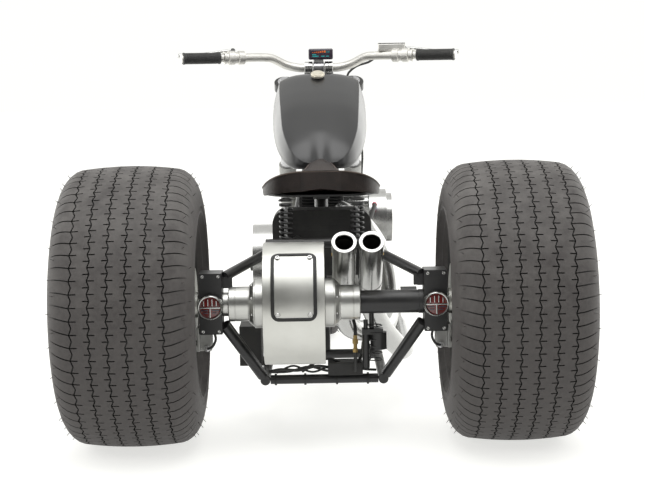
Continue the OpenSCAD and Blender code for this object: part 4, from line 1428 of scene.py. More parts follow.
@dataclass
class Axle(Section):
    """The chain case, its cover, the bells and the axle tubes."""

    cover_x: float = -0.075
    arc_low: float = math.radians(-7.9)
    arc_high: float = math.radians(57.8)

    def case(self) -> None:
        """Makes the chain case with its rim seams and bolts."""
        draft = Draft(Finishes.BRUSHED_Z, Finishes.POLISHED)
        draft.copy_of("chain_case", 0.0016)
        spots = []
        for turn in range(0, 360, 24):
            a = math.radians(turn)
            for x, out in ((-0.1562, -1), (0.0042, 1)):
                place = (x - out * 0.0012, AXLE_Y + 0.152 * math.cos(a),
                         AXLE_Z + 0.152 * math.sin(a))
                if place[1] < -0.73:
                    spots.append((place, (out, 0, 0)))
        self.screws(draft, 0.0042, 0.0011, spots, 1)
        self.put("chain_case_brushed", draft, "chain_case")

    def _on_drum(self, x: float, turn: float, r: float) -> Vector:
        """Places a point on a cylinder about the rear axle.

        Args:
            x: Place across the machine.
            turn: Angle up from straight behind.
            r: Radius.

        Returns:
            The point.
        """
        return Vector((x, AXLE_Y - r * math.cos(turn), AXLE_Z + r * math.sin(turn)))

    def _outline(self, inset: float, corner: float) -> list[tuple[float, float]]:
        """Lists the points of a rounded rectangle on the drum.

        Args:
            inset: How far it lies inside the cover's edge.
            corner: Radius of its corners.

        Returns:
            Across and angle of each point.
        """
        r = 0.168
        half_x = 0.059 - inset
        half_v = r * (self.arc_high - self.arc_low) / 2 - inset
        middle = (self.arc_high + self.arc_low) / 2
        points = []
        for quarter, (sx, sv) in enumerate(((1, 1), (-1, 1), (-1, -1), (1, -1))):
            cx, cv = sx * (half_x - corner), sv * (half_v - corner)
            for k in range(9):
                a = math.pi / 2 * (quarter + k / 8)
                points.append((cx + corner * math.cos(a), cv + corner * math.sin(a)))
            nx, nv = ((-1, 1), (-1, -1), (1, -1), (1, 1))[quarter]
            ex, ev = nx * (half_x - corner), nv * (half_v - corner)
            fx, fv = points[-1]
            tx, tv = ((ex, nv * half_v) if quarter % 2 == 0 else (nx * half_x, ev))
            for k in range(1, 10):
                points.append((fx + (tx - fx) * k / 10, fv + (tv - fv) * k / 10))
        return [(x + self.cover_x, middle + v / r) for x, v in points]

    def cover(self) -> None:
        """Makes the inspection cover: a bright plate in a black frame with four screws."""
        draft = Draft(Finishes.GASKET, Finishes.BRUSHED_X, Finishes.POLISHED)

        def ring(inset: float, corner: float, r: float) -> list[Vertex]:
            """Draws the outline at a radius."""
            return [draft.mesh.verts.new(self._on_drum(x, a, r))
                    for x, a in self._outline(inset, corner)]

        rings = [ring(*v) for v in ((0.0, 0.021, 0.1624), (0.0, 0.021, 0.1684),
                                    (0.001, 0.020, 0.1696), (0.0082, 0.013, 0.1698),
                                    (0.0090, 0.012, 0.169), (0.0092, 0.012, 0.1672))]
        draft.skin(rings)
        edge = self._outline(0.0092, 0.012)
        centre = (self.cover_x, (self.arc_low + self.arc_high) / 2)
        inner = [[draft.mesh.verts.new(self._on_drum(
            centre[0] + (x - centre[0]) * scale, centre[1] + (a - centre[1]) * scale, 0.1672))
            for x, a in edge] for scale in [1.0] + [k / 12 for k in range(11, 0, -1)]]
        inner.append([draft.mesh.verts.new(self._on_drum(*centre, 0.1672))])
        draft.skin(inner, 1)
        draft.skin([rings[0], ring(0.02, 0.006, 0.1624)])
        spots = [(tuple(self._on_drum(x, a, 0.1671)), (0.0, -math.cos(a), math.sin(a)))
                 for x in (-0.1165, -0.0335)
                 for a in (self.arc_low + 0.098, self.arc_high - 0.098)]
        self.screws(draft, 0.0068, 0.0040, spots, 2)
        self.put("cover_plate", draft, "inspection_cover")

    def bells(self) -> None:
        """Makes the turned bells, each with its rings and flange screws."""
        draft = Draft(Finishes.TURNED, Finishes.POLISHED)
        for side, start in ((1, 0.0042), (-1, 0.1562)):
            profile = mm(
                (33, 0), (63.8, 0), (65, 1.2), (65, 23.5), (63.8, 24.8), (61.2, 25), (61.2, 27.2),
                (59.8, 28.6), (51.5, 37.6), (49.8, 38.4), (49.8, 39.8), (47.5, 40.2),
                (46.2, 41.5), (46.2, 74.5), (45.5, 75), (45.5, 76.2), (46.2, 76.7), (46.2, 91.8),
                (44.6, 93.6), (32.5, 93.6))
            draft.lathe(profile, (side * start, AXLE_Y, AXLE_Z), (side, 0, 0), 96, 0,
                        closed=True)
            spots = spots_round((side * (start + 0.0300), AXLE_Y, AXLE_Z), 0.0545,
                                (math.tau * (k + 0.5) / 8 for k in range(8)), side)
            self.screws(draft, 0.0036, 0.004, spots, 1)
        self.put("axle_bells_turned", draft, "axle_bells")

    def tubes(self) -> None:
        """Makes the axle tubes with their end collars."""
        draft = Draft(Finishes.BLACK, Finishes.TURNED)
        draft.lathe(mm(
            (27, 98.5), (30.8, 98.5), (30.8, 252), (32, 253), (32, 264.5), (31, 265.7),
            (27, 265.7)), REAR_AXLE, RIGHT, 64, 0, closed=True)
        draft.lathe(mm(
            (27, 250.3), (31.2, 250.3), (32, 251.5), (32, 264.5), (31, 265.7), (27, 265.7)),
            REAR_AXLE, LEFT, 64, 1, closed=True)
        self.put("axle_tube_ends", draft, "axle_tubes")

    def build(self) -> None:
        """Makes the whole rear axle."""
        self.case()
        self.cover()
        self.bells()
        self.tubes()


@dataclass
class Exhausts(Section):
    """The two exhausts, with their hollow, sooty mouths."""

    rise: float = math.radians(39)
    left: Sequence[Point] = (
        (57, 160, 366), (60, 250, 296), (80, 330, 248), (130, 430, 222), (188, 540, 222),
        (204, 606, 290), (192, 628, 400), (140, 640, 500), (84, 672, 544), (56, 692, 557))
    right: Sequence[Point] = (
        (129, 160, 366), (138, 220, 316), (172, 310, 244), (216, 410, 180), (240, 520, 150),
        (245, 750, 150), (241, 960, 172), (232, 1070, 260), (206, 1118, 400), (158, 1120, 510),
        (104, 1098, 563), (64, 1072, 565))

    def _mouth(self, x: float, back: float) -> Vector:
        """Places a point on the straight end of a pipe.

        Args:
            x: Place across the machine in millimetres.
            back: Distance into the pipe from its mouth in millimetres.

        Returns:
            The point.
        """
        return from_axle(x, -50 + back * math.cos(self.rise), 536 - back * math.sin(self.rise))

    def _pipe(self, name: str, node: str, x: float, route: Sequence[Point]) -> None:
        """Makes one exhaust.

        Args:
            name: Name of the piece.
            node: The frame's node.
            x: Place of its mouth across the machine in millimetres.
            route: Its route to the engine in millimetres.
        """
        draft = Draft(Finishes.POLISHED, Finishes.SOOT, Finishes.BRASS)
        out = (0, -math.cos(self.rise), math.sin(self.rise))
        deep = self._mouth(x, 118)
        draft.lathe(mm(
            (0, 0), (29, 0), (29, 88)), deep, out, 64, 1)
        draft.lathe(mm(
            (29, 88), (28.2, 99), (25.2, 108), (23, 113.5), (23.2, 115.8), (24.6, 117.4),
            (28.5, 117.8), (32.2, 117.8), (33.4, 116.8), (33.4, 80), (32.6, 78.6), (31.5, 78.3),
            (31.5, -90)), deep, out, 64, 0)
        path = [self._mouth(x, 206)] + smooth_route(
            [self._mouth(x, 222)] + [from_axle(*point) for point in route], 10)
        draft.tube(path, 0.0305, 32, 0)
        draft.lathe(mm(
            (30.8, -3), (32.5, -2), (32.5, 8), (30.8, 9)), self._mouth(x, 205), out, 48, 0,
            closed=True)
        side = 1 if x > 90 else -1
        spots = [(tuple(self._mouth(x, 60) + 0.0316 * Vector(way)), way)
                 for way in ((0, math.sin(self.rise), math.cos(self.rise)), (side, 0, 0))]
        self.screws(draft, 0.0034, 0.0016, spots, 2)
        self.put(name, draft, node)

    def build(self) -> None:
        """Makes both exhausts."""
        self._pipe("exhaust_left_pipe", "exhaust_left", 57, self.left)
        self._pipe("exhaust_right_pipe", "exhaust_right", 129, self.right)


@dataclass
class Engine(Section):
    """The V-twin, its covers, its gearbox and its air cleaner."""

    vee: float = math.radians(22.5)

    def _place(self, lean: float) -> Matrix:
        """Gives the placement of a cylinder, which is drawn standing on the crank.

        Args:
            lean: 1 for the rear cylinder, -1 for the front one.

        Returns:
            The placement.
        """
        return Matrix.Translation(from_axle(0, 880, 295)) @ Matrix.Rotation(
            self.vee * lean, 4, "X")

    def cylinder(self, name: str, node: str, lean: float) -> None:
        """Makes a cylinder with its fins, head and rocker cover.

        Args:
            name: Name of the piece.
            node: The frame's node.
            lean: 1 for the rear cylinder, -1 for the front one.
        """
        draft = Draft(Finishes.BLACK, Finishes.CAST, Finishes.POLISHED)
        draft.lathe(mm(
            (0, 120), (42, 120), (42, 186), (56, 186.5), (56, 300.5), (0, 300.5)), ORIGIN, UP, 48,
            0)
        fin = Draft()
        fin.lathe(mm(
            (50, 0), (70.8, 0.2), (71.6, 1.2), (70.8, 2.2), (50, 3)), (0, 0, 0.1875), UP, 64, 0,
            closed=True)
        self.stack(draft, fin, 12, (0.0, 0.0, 0.0094))
        draft.box((-0.062, -0.054, 0.299), (0.062, 0.054, 0.367), 0.006, 0, None, 3)
        plate = Draft()
        plate.box((-0.0695, -0.0615, 0.3025), (0.0695, 0.0615, 0.3055), 0.001)
        self.stack(draft, plate, 6, (0.0, 0.0, 0.0106))
        draft.box((-0.0535, -0.0515, 0.3675), (0.0535, 0.0515, 0.382), 0.003, 2, None, 2)
        draft.box((-0.050, -0.048, 0.381), (0.050, 0.048, 0.3975), 0.006, 2, None, 3)
        spots = [((x, y, 0.3972), UP) for x in (-0.04, 0, 0.04) for y in (-0.038, 0.038)]
        self.screws(draft, 0.0035, 0.0007, spots, 2)
        bmesh.ops.transform(draft.mesh, matrix=self._place(lean), verts=draft.mesh.verts)
        self.put(name, draft, node)

    def covers(self) -> None:
        """Makes the crankcase, the primary cover and the gearbox with their screws."""
        self.shop.carried("crankcase", FRAME_BODY, Finishes.CAST, 0.003, "cast")
        primary = Draft(Finishes.POLISHED, Finishes.STEEL)
        primary.copy_of("primary_cover", 0.004)
        spots = []
        for y, z, r, low, high in ((-0.27, 0.425, 0.097, 70, 290), (0.05, 0.295, 0.087, -90, 80)):
            angles = (math.radians(low + (high - low) * k / 5) for k in range(6))
            spots += spots_round((-0.2049, y, z), r, angles, -1)
        self.screws(primary, 0.0042, 0.001, spots, 1)
        self.put("primary_polished", primary, "primary_cover")
        box = Draft(Finishes.CAST, Finishes.STEEL)
        box.copy_of("gearbox", 0.004)
        low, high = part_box("gearbox")
        spots = [((high[0] - 0.0008, y, z), RIGHT)
                 for y in (low[1] + 0.03, high[1] - 0.09) for z in (low[2] + 0.04, high[2] - 0.05)]
        self.screws(box, 0.005, 0.0007, spots, 1)
        self.put("gearbox_cast", box, "gearbox")

    def cleaner(self) -> None:
        """Makes the air cleaner with its screws, and the breather hose below it."""
        draft = Draft(Finishes.POLISHED, Finishes.STEEL)
        draft.copy_of("air_cleaner", 0.004)
        spots = spots_round((0.2252, 0.05, 0.517), 0.06,
                            (math.tau * k / 5 + 0.3 for k in range(5)), 1)
        self.screws(draft, 0.005, 0.0008, spots, 1)
        self.put("air_cleaner_polished", draft, "air_cleaner")
        hose = Draft(Finishes.RUBBER, Finishes.BLUE_HOSE, Finishes.RED_HOSE)
        foot = Vector((0.168, -0.0405, 0.566))
        hose.lathe(mm(
            (0, 0), (8.5, 0), (8.5, 10), (6.8, 11), (6.8, 18), (0, 18)), foot, BACK, 6, 1)
        hose.lathe(mm(
            (0, 18), (9, 18), (9, 27), (7.8, 28), (7.8, 34), (0, 34)), foot, BACK, 6, 2)
        route = [foot + Vector(point) for point in (
            (0, -0.032, 0), (-0.004, -0.075, -0.006), (-0.02, -0.14, -0.04),
            (-0.034, -0.2, -0.09), (-0.036, -0.27, -0.1), (-0.04, -0.33, -0.06))]
        hose.tube(smooth_route(route, 12), 0.0065, 20, 0, 0.001)
        self.put("breather_hose", hose, slot="air_cleaner")

    def filter(self) -> None:
        """Makes the oil filter with its rings."""
        low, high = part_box("oil_filter")
        x, y = (low[0] + high[0]) / 2, (low[1] + high[1]) / 2
        tall = high[2] - low[2]
        r = min(high[0] - low[0], high[1] - low[1]) / 2
        draft = Draft(Finishes.BLACK)
        draft.copy_of("oil_filter", 0.002)
        groove = Draft()
        groove.lathe([(r - 0.002, 0), (r - 0.0003, 0.0006), (r - 0.0003, 0.0026),
                      (r - 0.002, 0.0032)], (x, y, low[2] + 0.02), UP, 48, 0, closed=True)
        self.stack(draft, groove, 6, (0.0, 0.0, (tall - 0.05) / 6))
        self.put("oil_filter_ribbed", draft, "oil_filter")

    def build(self) -> None:
        """Makes the whole engine."""
        self.cylinder("rear_cylinder_finned", "rear_cylinder", 1)
        self.cylinder("front_cylinder_finned", "front_cylinder", -1)
        self.covers()
        self.cleaner()
        self.filter()


@dataclass
class Saddle(Section):
    """The leather saddle, its springs, and the boxes beneath it."""

    back: float = -0.6095
    length: float = 0.419
    stitches: int = 150
    half: Marks = field(default_factory=lambda: Marks(
        (0.0, 0.055), (0.03, 0.098), (0.08, 0.132), (0.16, 0.156), (0.27, 0.1665), (0.38, 0.162),
        (0.5, 0.141), (0.62, 0.107), (0.74, 0.072), (0.85, 0.048), (0.94, 0.035), (1.0, 0.018)))
    rim: Marks = field(default_factory=lambda: Marks(
        (0.0, 0.707), (0.04, 0.698), (0.1, 0.684), (0.2, 0.664), (0.3, 0.655), (0.45, 0.653),
        (0.6, 0.660), (0.75, 0.676), (0.9, 0.698), (1.0, 0.712)))
    middle: Marks = field(default_factory=lambda: Marks(
        (0.0, 0.708), (0.08, 0.702), (0.2, 0.688), (0.35, 0.680), (0.5, 0.680), (0.65, 0.687),
        (0.8, 0.700), (0.92, 0.714), (1.0, 0.720)))
    skirt: Marks = field(default_factory=lambda: Marks(
        (0.0, 0.650), (0.1, 0.640), (0.3, 0.631), (0.5, 0.632), (0.7, 0.650), (0.9, 0.678),
        (1.0, 0.696)))

    def _y(self, v: float) -> float:
        """Gives the place along the machine of a share v of the saddle's length."""
        return self.back + self.length * v

    def _height(self, u: float, v: float) -> float:
        """Gives the height of the leather.

        Args:
            u: Place across, from -1 to 1.
            v: Place from the back edge (0) to the nose (1).

        Returns:
            The height above the floor in metres.
        """
        rim, middle = self.rim(v), self.middle(v)
        groove = 0.003 * math.exp(-((u / 0.1) ** 2)) * math.exp(-(((v - 0.45) / 0.35) ** 4))
        return rim + (middle - rim) * (1 - abs(u) ** 2.3) - groove

    def leather(self) -> None:
        """Makes the padded leather top and its skirt."""
        draft = Draft(Finishes.LEATHER)
        across, along = 44, 60
        rows = []
        for j in range(along + 1):
            v = (1 - math.cos(math.pi * j / along)) / 2
            y, w = self._y(v), self.half(v)
            turns = (math.sin(math.pi * (i / across - 0.5)) for i in range(across + 1))
            row = [draft.mesh.verts.new((u * w, y, self._height(u, v))) for u in turns]
            top, low = self.rim(v), self.skirt(v)
            right = [(w + 0.0008, y, top - 0.0015), (w + 0.0012, y, top - 0.005),
                     (w + 0.0002, y, top - 0.0075), (w + 0.0006, y, (top + low) / 2),
                     (w - 0.001, y, low + 0.004), (w - 0.002, y, low + 0.001),
                     (w - 0.005, y, low), (w * 0.6, y, low + 0.004)]
            under = [*right, (0, y, low + 0.007)] + [(-x, d, z) for x, d, z in reversed(right)]
            rows.append(row + [draft.mesh.verts.new(place) for place in under])
        draft.skin(rows, 0, False)
        draft.mesh.faces.new(rows[0])
        draft.mesh.faces.new(list(reversed(rows[-1])))
        self.put("saddle_leather", draft, "seat", sharp=60)

    def piping(self) -> None:
        """Makes the piping round the saddle's edge."""
        draft = Draft(Finishes.PIPING)
        edge = [Vector((s * (self.half(v) + 0.0006), self._y(v), self.rim(v) - 0.0012))
                for s, order in ((-1, 1), (1, -1))
                for v in [(0.005 + 0.985 * (1 - k / 70) ** 1.6) for k in range(71)][::order]]
        draft.tube(edge, 0.0024, 10, 0)
        self.put("saddle_piping", draft, slot="seat", sharp=60)

    def seams(self) -> None:
        """Makes the row of stitches inside the piping."""
        spots = []
        for k in range(self.stitches):
            v = 0.02 + 0.95 * k / (self.stitches - 1)
            w = self.half(v)
            slope = self.half(min(1, v + 0.01)) - self.half(max(0, v - 0.01))
            for s in SIDES:
                u = s * (1 - 0.007 / w)
                if w > 0.03:
                    spots.append(((u * w, self._y(v), self._height(u, v) + 0.0004),
                                  (s * slope * 0.42, 0.02 * self.length * 2, 0.0)))
        thread = Draft()
        thread.tube([Vector((0, 0, -0.0018)), Vector((0, 0.0003, -0.0009)),
                     Vector((0, 0.0004, 0)), Vector((0, 0.0003, 0.0009)),
                     Vector((0, 0, 0.0018))], 0.0005, 6, 0, 0.0003)
        draft = Draft(Finishes.DARK_PLASTIC)
        draft.take(self.repeat.on_points(thread, spots,
                                         self.shop.finishes(Finishes.DARK_PLASTIC), 0.0), 0)
        self.put("saddle_stitches", draft, slot="seat")

    def pan(self) -> None:
        """Makes the pan that the leather lies on, with its spring seats."""
        shares = [0.03 + 0.9 * j / 24 for j in range(25)]
        outline = [(s * (self.half(v) - 0.012), self._y(v), 0.634)
                   for s, order in ((1, 1), (-1, -1)) for v in shares[::order]]
        draft = Draft(Finishes.BLACK)
        draft.extrude(outline, (0, 0, 0.006), 0.001)
        draft.box((-0.022, -0.56, 0.6245), (0.022, -0.24, 0.6345), 0.002)
        draft.lathe(mm(
            (0, 0), (12, 0), (12, 22), (0, 22)), (0, -0.225, 0.63), UP, 24)
        for side in SIDES:
            draft.lathe(mm(
                (0, 0), (21, 0), (21, 4), (12, 8), (12, 10), (0, 10)),
                (side * 0.1, -0.59, 0.6225), UP, 32)
        self.put("saddle_pan", draft, slot="seat")

    def springs(self) -> None:
        """Makes the coil springs under the saddle with their seats."""
        draft = Draft(Finishes.BLACK, Finishes.STEEL)
        material = self.shop.finishes(Finishes.BLACK)
        for side in SIDES:
            x, y = side * 0.1, -0.592
            coil = self.repeat.coil(6.2, 0.0158, 0.088, 0.0036, material)
            coil.transform(Matrix.Translation((x, y, 0.5165)))
            draft.take(coil, 0)
            for z in (0.5055, 0.6085):
                draft.lathe(mm(
                    (0, 0), (18.5, 0), (19.5, 1), (19.5, 7), (18.5, 8), (0, 8)), (x, y, z), UP,
                    40, 0)
            draft.lathe(mm(
                (0, 0), (5.2, 0), (5.2, 108), (0, 108)), (x, y, 0.508), UP, 20, 1)
        self.put("seat_springs_coiled", draft, "seat_springs")

    def boxes(self) -> None:
        """Makes the ribbed oil tank, the electrics boxes and the foot controls."""
        _, y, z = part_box("oil_tank")[0]
        draft = Draft(Finishes.MATT_BLACK)
        draft.copy_of("oil_tank", 0.003)
        rib = Draft()
        rib.box((-0.118, y - 0.0002, z + 0.02), (0.118, y + 0.004, z + 0.0262), 0.0016)
        self.stack(draft, rib, 10, (0.0, 0.0, 0.0152))
        self.put("oil_tank_ribbed", draft, "oil_tank")
        self.shop.carried("electrics_boxes", FRAME_BODY, Finishes.MATT_BLACK, 0.003)
        self.shop.carried("foot_controls", FRAME_BODY, Finishes.BLACK, 0.0012)

    def build(self) -> None:
        """Makes the saddle and what is under it."""
        self.leather()
        self.piping()
        self.seams()
        self.pan()
        self.springs()
        self.boxes()


@dataclass
class FuelTank(Section):
    """The satin black tank with its filler cap, drawn from sections across the machine."""

    top: Marks = field(default_factory=lambda: Marks(
        (650, 712), (662, 734), (695, 774), (760, 826), (830, 876), (900, 915), (960, 945),
        (1010, 969), (1035, 979), (1056, 981), (1084, 966), (1120, 928), (1160, 880), (1184, 850)))
    crease: Marks = field(default_factory=lambda: Marks(
        (650, 52), (662, 78), (695, 100), (760, 117), (830, 123), (900, 127), (960, 130),
        (1010, 131), (1035, 130), (1056, 126), (1084, 116), (1120, 99), (1160, 78), (1184, 40)))
    wide: Marks = field(default_factory=lambda: Marks(
        (650, 56), (662, 83), (695, 108), (760, 130), (830, 143), (900, 150), (960, 152.5),
        (1010, 152.5), (1035, 150), (1056, 146), (1084, 136), (1120, 118), (1160, 92), (1184, 46)))
    wide_z: Marks = field(default_factory=lambda: Marks(
        (650, 701), (695, 716), (760, 745), (830, 774), (900, 801), (960, 826), (1010, 848),
        (1056, 868), (1084, 870), (1120, 864), (1160, 851), (1184, 842)))
    floor: Marks = field(default_factory=lambda: Marks(
        (650, 694), (662, 688), (695, 691), (760, 707), (830, 726), (900, 745), (960, 760),
        (1010, 771), (1056, 780), (1120, 795), (1160, 808), (1184, 832)))

    def _section(self, y: float) -> list[tuple[float, float]]:
        """Draws half of the tank's section.

        Args:
            y: Place along the machine in millimetres from the rear axle.

        Returns:
            Across and height in millimetres, from the middle of the top to that of the bottom.
        """
        top, edge, wide = self.top(y), self.crease(y), self.wide(y)
        wide_z, low = self.wide_z(y), self.floor(y)
        edge_z = top - min(23.0, (top - wide_z) * 0.24)
        notch = 34 * max(0.0, 1 - (y - 646) / 84) ** 1.4
        half = []
        for k in range(13):
            x = (edge - 3) * k / 12
            half.append((x, top - (top - edge_z) * (x / edge) ** 3.2
                         - notch * math.exp(-((x / 24) ** 2))))
        half += [(edge - 1.2, edge_z + 0.35), (edge, edge_z - 0.7), (edge + 0.9, edge_z - 2.6)]
        x, z = half[-1]
        for k in range(1, 13):
            a = math.pi / 2 * k / 12
            half.append((x + (wide - x) * math.sin(a), z - (z - wide_z) * k / 12))
        foot = wide * 0.8
        for k in range(1, 11):
            a = math.pi / 2 * k / 10
            half.append((foot + (wide - foot) * math.cos(a),
                         wide_z - (wide_z - low) * math.sin(a)))
        return half + [(foot * 0.5, low), (0.0, low)]

    def build(self) -> None:
        """Makes the tank and its cap."""
        draft = Draft(Finishes.SATIN_TANK)
        steps = 56
        rings = [[draft.mesh.verts.new(from_axle(0, 647.5, 702))]]
        for j in range(steps + 1):
            y = 650 + 534 * (0.5 - 0.5 * math.cos(math.pi * j / steps))
            half = self._section(y)
            ring = half + [(-x, z) for x, z in reversed(half[1:-1])]
            rings.append([draft.mesh.verts.new(from_axle(x, y, z)) for x, z in ring])
        rings.append([draft.mesh.verts.new(from_axle(0, 1186, 842))])
        draft.skin(rings)
        self.put("fuel_tank_satin", draft, "fuel_tank", sharp=70)
        slope = math.atan2(95, 190)
        up = Vector((0, -math.sin(slope), math.cos(slope)))
        foot = from_axle(-4, 1040, 955) + Vector((0, math.cos(slope), math.sin(slope))) * -0.018
        cap = Draft(Finishes.IVORY)
        start = foot + up * 0.0313
        cap.lathe(mm(
            (0, 0), (22, 0), (23, 1), (23, 6.5), (22, 8), (19.5, 8.5)), start, up, 64, 0)
        cap.lathe(mm(
            (19.5, 8.5), (18.8, 10.5), (16.5, 11.6), (8, 11.9), (0, 12)), start, up, 64, 0)
        self.put("fuel_cap_turned", cap, "fuel_cap")


class Steering(Section):
    """The fork, the handlebar and everything on them."""

    def put(self, name: str, draft: Draft, *nodes: str, **settings: object) -> Piece:
        """Makes a draft into a piece on the steering's body; see Section.put."""
        return self.shop.put(name, draft, STEERING_BODY, replaces=nodes, **settings)

    def _bar(self, x: float) -> Vector:
        """Places a point on the straight right end of the handlebar.

        Args:
            x: Distance from its middle in millimetres.

        Returns:
            The point.
        """
        t = (x - 198) / (456 - 198)
        lift, pull = 37 + (35 - 37) * t, -22 + (-120 + 22) * t
        return BAR + Vector((x, pull, lift)) / 1000

    def _bar_axis(self, side: int) -> Vector:
        """Gives the direction of one end of the handlebar.

        Args:
            side: 1 for the right, -1 for the left.

        Returns:
            The direction outwards.
        """
        way = (self._bar(456) - self._bar(198)).normalized()
        return Vector((way.x * side, way.y, way.z))

    def handlebar(self) -> None:
        """Makes the bent bar."""
        half = [BAR + Vector(point) / 1000 for point in (
            (40, 0, 0), (68, 0, 0), (110, -3, 10), (158, -9, 33), (198, -22, 37))]
        half += [self._bar(x) for x in (250, 330, 456)]
        left = [Vector((-place.x, place.y, place.z)) for place in reversed(half)]
        draft = Draft(Finishes.SATIN_STEEL, Finishes.POLISHED)
        draft.tube(smooth_route([*left, BAR, *half], 8), 0.0143, 40, 0, 0.001)
        for side in SIDES:
            draft.lathe(mm(
                (14.6, -13.5), (19.5, -13.5), (20.5, -12.5), (20.5, -1), (19.8, -0.4),
                (19.8, 0.4), (20.5, 1), (20.5, 12.5), (19.5, 13.5), (14.6, 13.5)),
                on_fork(side * 34, 0, 846), RIGHT, 48, 1, closed=True)
        self.put("handlebar_bent", draft, "handlebar")

    def grips(self) -> None:
        """Makes the ribbed rubber grips with their end caps."""
        draft = Draft(Finishes.RUBBER, Finishes.POLISHED)
        for side in SIDES:
            axis = self._bar_axis(side)
            start = self._bar(330)
            start.x *= side
            profile = [(0.0147, 0.0004), (0.0195, 0.0004), (0.0199, 0.0012), (0.0199, 0.0055),
                       (0.0192, 0.0065)]
            for k in range(27):
                z = 0.0085 + k * 0.0042
                profile += [(0.0178, z), (0.0178, z + 0.0008), (0.0188, z + 0.0014),
                            (0.0188, z + 0.0032)]
            profile += [(0.0192, 0.1235), (0.0198, 0.1245), (0.0198, 0.128), (0.018, 0.1295),
                        (0.0147, 0.1298)]
            draft.lathe(profile, start, axis, 48, 0, closed=True)
            draft.lathe(mm(
                (0, 129.4), (13.5, 129.4), (14.5, 129.8), (0, 129.9)), start, axis, 32, 1)
        self.put("grips_ribbed", draft, "grips", sharp=40)

    def controls(self) -> None:
        """Makes the clamps, the levers and the reservoir with their screws."""
        draft = Draft(Finishes.SATIN_STEEL, Finishes.BLACK, Finishes.POLISHED)
        for side in SIDES:
            axis = self._bar_axis(side)

            def at(x: float, forward: float = 0, along: float = 0) -> Vector:
                """Places a point near this end of the bar."""
                place = self._bar(x) + (on_fork(0, forward, along) - on_fork(0, 0, 0))
                return Vector((place.x * side, place.y, place.z))

            draft.lathe(mm(
                (14.8, 0), (21.5, 0), (23, 1.5), (23, 21), (21.5, 22.5), (19.5, 22.8), (19.5, 34),
                (22.5, 34.5), (23.5, 36), (23.5, 56), (22.2, 57.5), (19.2, 58), (19.2, 66),
                (21.2, 67), (21.2, 72.5), (14.8, 73.5)), at(250.5), axis, 48, 0, closed=True)
            draft.tube([at(290, 16), at(290, 34, -2), at(290, 52, -4)], 0.0086, 20, 1, 0.2e-2)
            reach = smooth_route([at(*point) for point in (
                (290, 52, -4), (330, 51.5, -8), (390, 48, -14), (440, 45, -17.5),
                (462, 44, -18))], 8)
            draft.tube(reach, lambda t: 0.0064 - 0.002 * math.sin(math.pi * min(1, t * 1.05)),
                       20, 2, 0.001)
            angles = [math.pi * k / 12 for k in range(1, 12)]
            ball = [(0.0085 * math.sin(a), -0.0085 * math.cos(a)) for a in angles]
            draft.lathe([(0, -0.0085), *ball, (0, 0.0085)], at(464, 44, -18), axis, 24, 2)
            spots = [(tuple(at(x, -17.2)), (0, -math.cos(RAKE), -math.sin(RAKE)))
                     for x in (258, 280)]
            self.screws(draft, 0.0036, 0.0052, spots, 1)
        middle = self._bar(262)
        box_low = Vector((middle.x - 0.0615, middle.y + 0.0045, middle.z + 0.0154))
        box_high = Vector((middle.x + 0.0315, middle.y + 0.0435, middle.z + 0.0395))
        draft.box(box_low, box_high, 0.004, 0, None, 3)
        draft.box((box_low.x + 0.001, box_low.y + 0.001, box_high.z - 0.0005),
                  (box_high.x - 0.001, box_high.y - 0.001, box_high.z + 0.0021), 0.001, 1)
        spots = [((x, y, box_high.z + 0.0019), UP)
                 for x in (box_low.x + 0.008, box_high.x - 0.008)
                 for y in (box_low.y + 0.008, box_high.y - 0.008)]
        self.screws(draft, 0.0028, 0.0006, spots, 2)
        self.put("controls_machined", draft, "hand_controls")

    def dash(self) -> None:
        """Makes the small instrument with its screen, and its clamp."""
        draft = Draft(Finishes.DARK_PLASTIC, Finishes.STEEL, Finishes.TEAL, Finishes.ORANGE)
        draft.lathe(mm(
            (14.9, -17.5), (19, -17.5), (19.7, -16.5), (19.7, 16.5), (19, 17.5), (14.9, 17.5)),
            BAR, RIGHT, 48, 1, closed=True)
        bar, face = Matrix.Translation(BAR), BAR + Vector((0.0075, -0.0196, 0.045))
        draft.box((-0.017, -0.0125, 0.0165), (0.017, 0.015, 0.029), 0.002, 1, bar)
        draft.box((-0.0345, -0.0195, 0.0265), (0.0495, 0.0235, 0.0635), 0.006, 0, bar, 4)
        on_face = Matrix.Translation(face)
        draft.box((-0.0355, -0.0018, -0.0145), (0.0355, 0.001, 0.0145), 0.0028, 0, on_face, 3)
        bars = [(-0.029 + k * 0.0068, 0.0045, 0.0044, 0.002 + 0.0008 * k, 3) for k in range(7)]
        bars += [(-0.029, -0.009, 0.022, 0.0032, 2), (-0.029, -0.0035, 0.014, 0.0032, 2),
                 (0.001, -0.009, 0.012, 0.0032, 2), (0.018, -0.009, 0.01, 0.0032, 2)]
        for x, z, wide, tall, part in bars:
            draft.box((x, -0.0022, z), (x + wide, -0.0015, z + tall), 0.0003, part, on_face)
        for x in (0.0215, 0.0275):
            draft.lathe(mm(
                (0, 1.4), (1.9, 1.4), (1.9, 2.2), (0, 2.5)), face + Vector((x, 0, 0.0065)), BACK,
                16, 2)
        self.put("dash_instrument", draft, "dash")

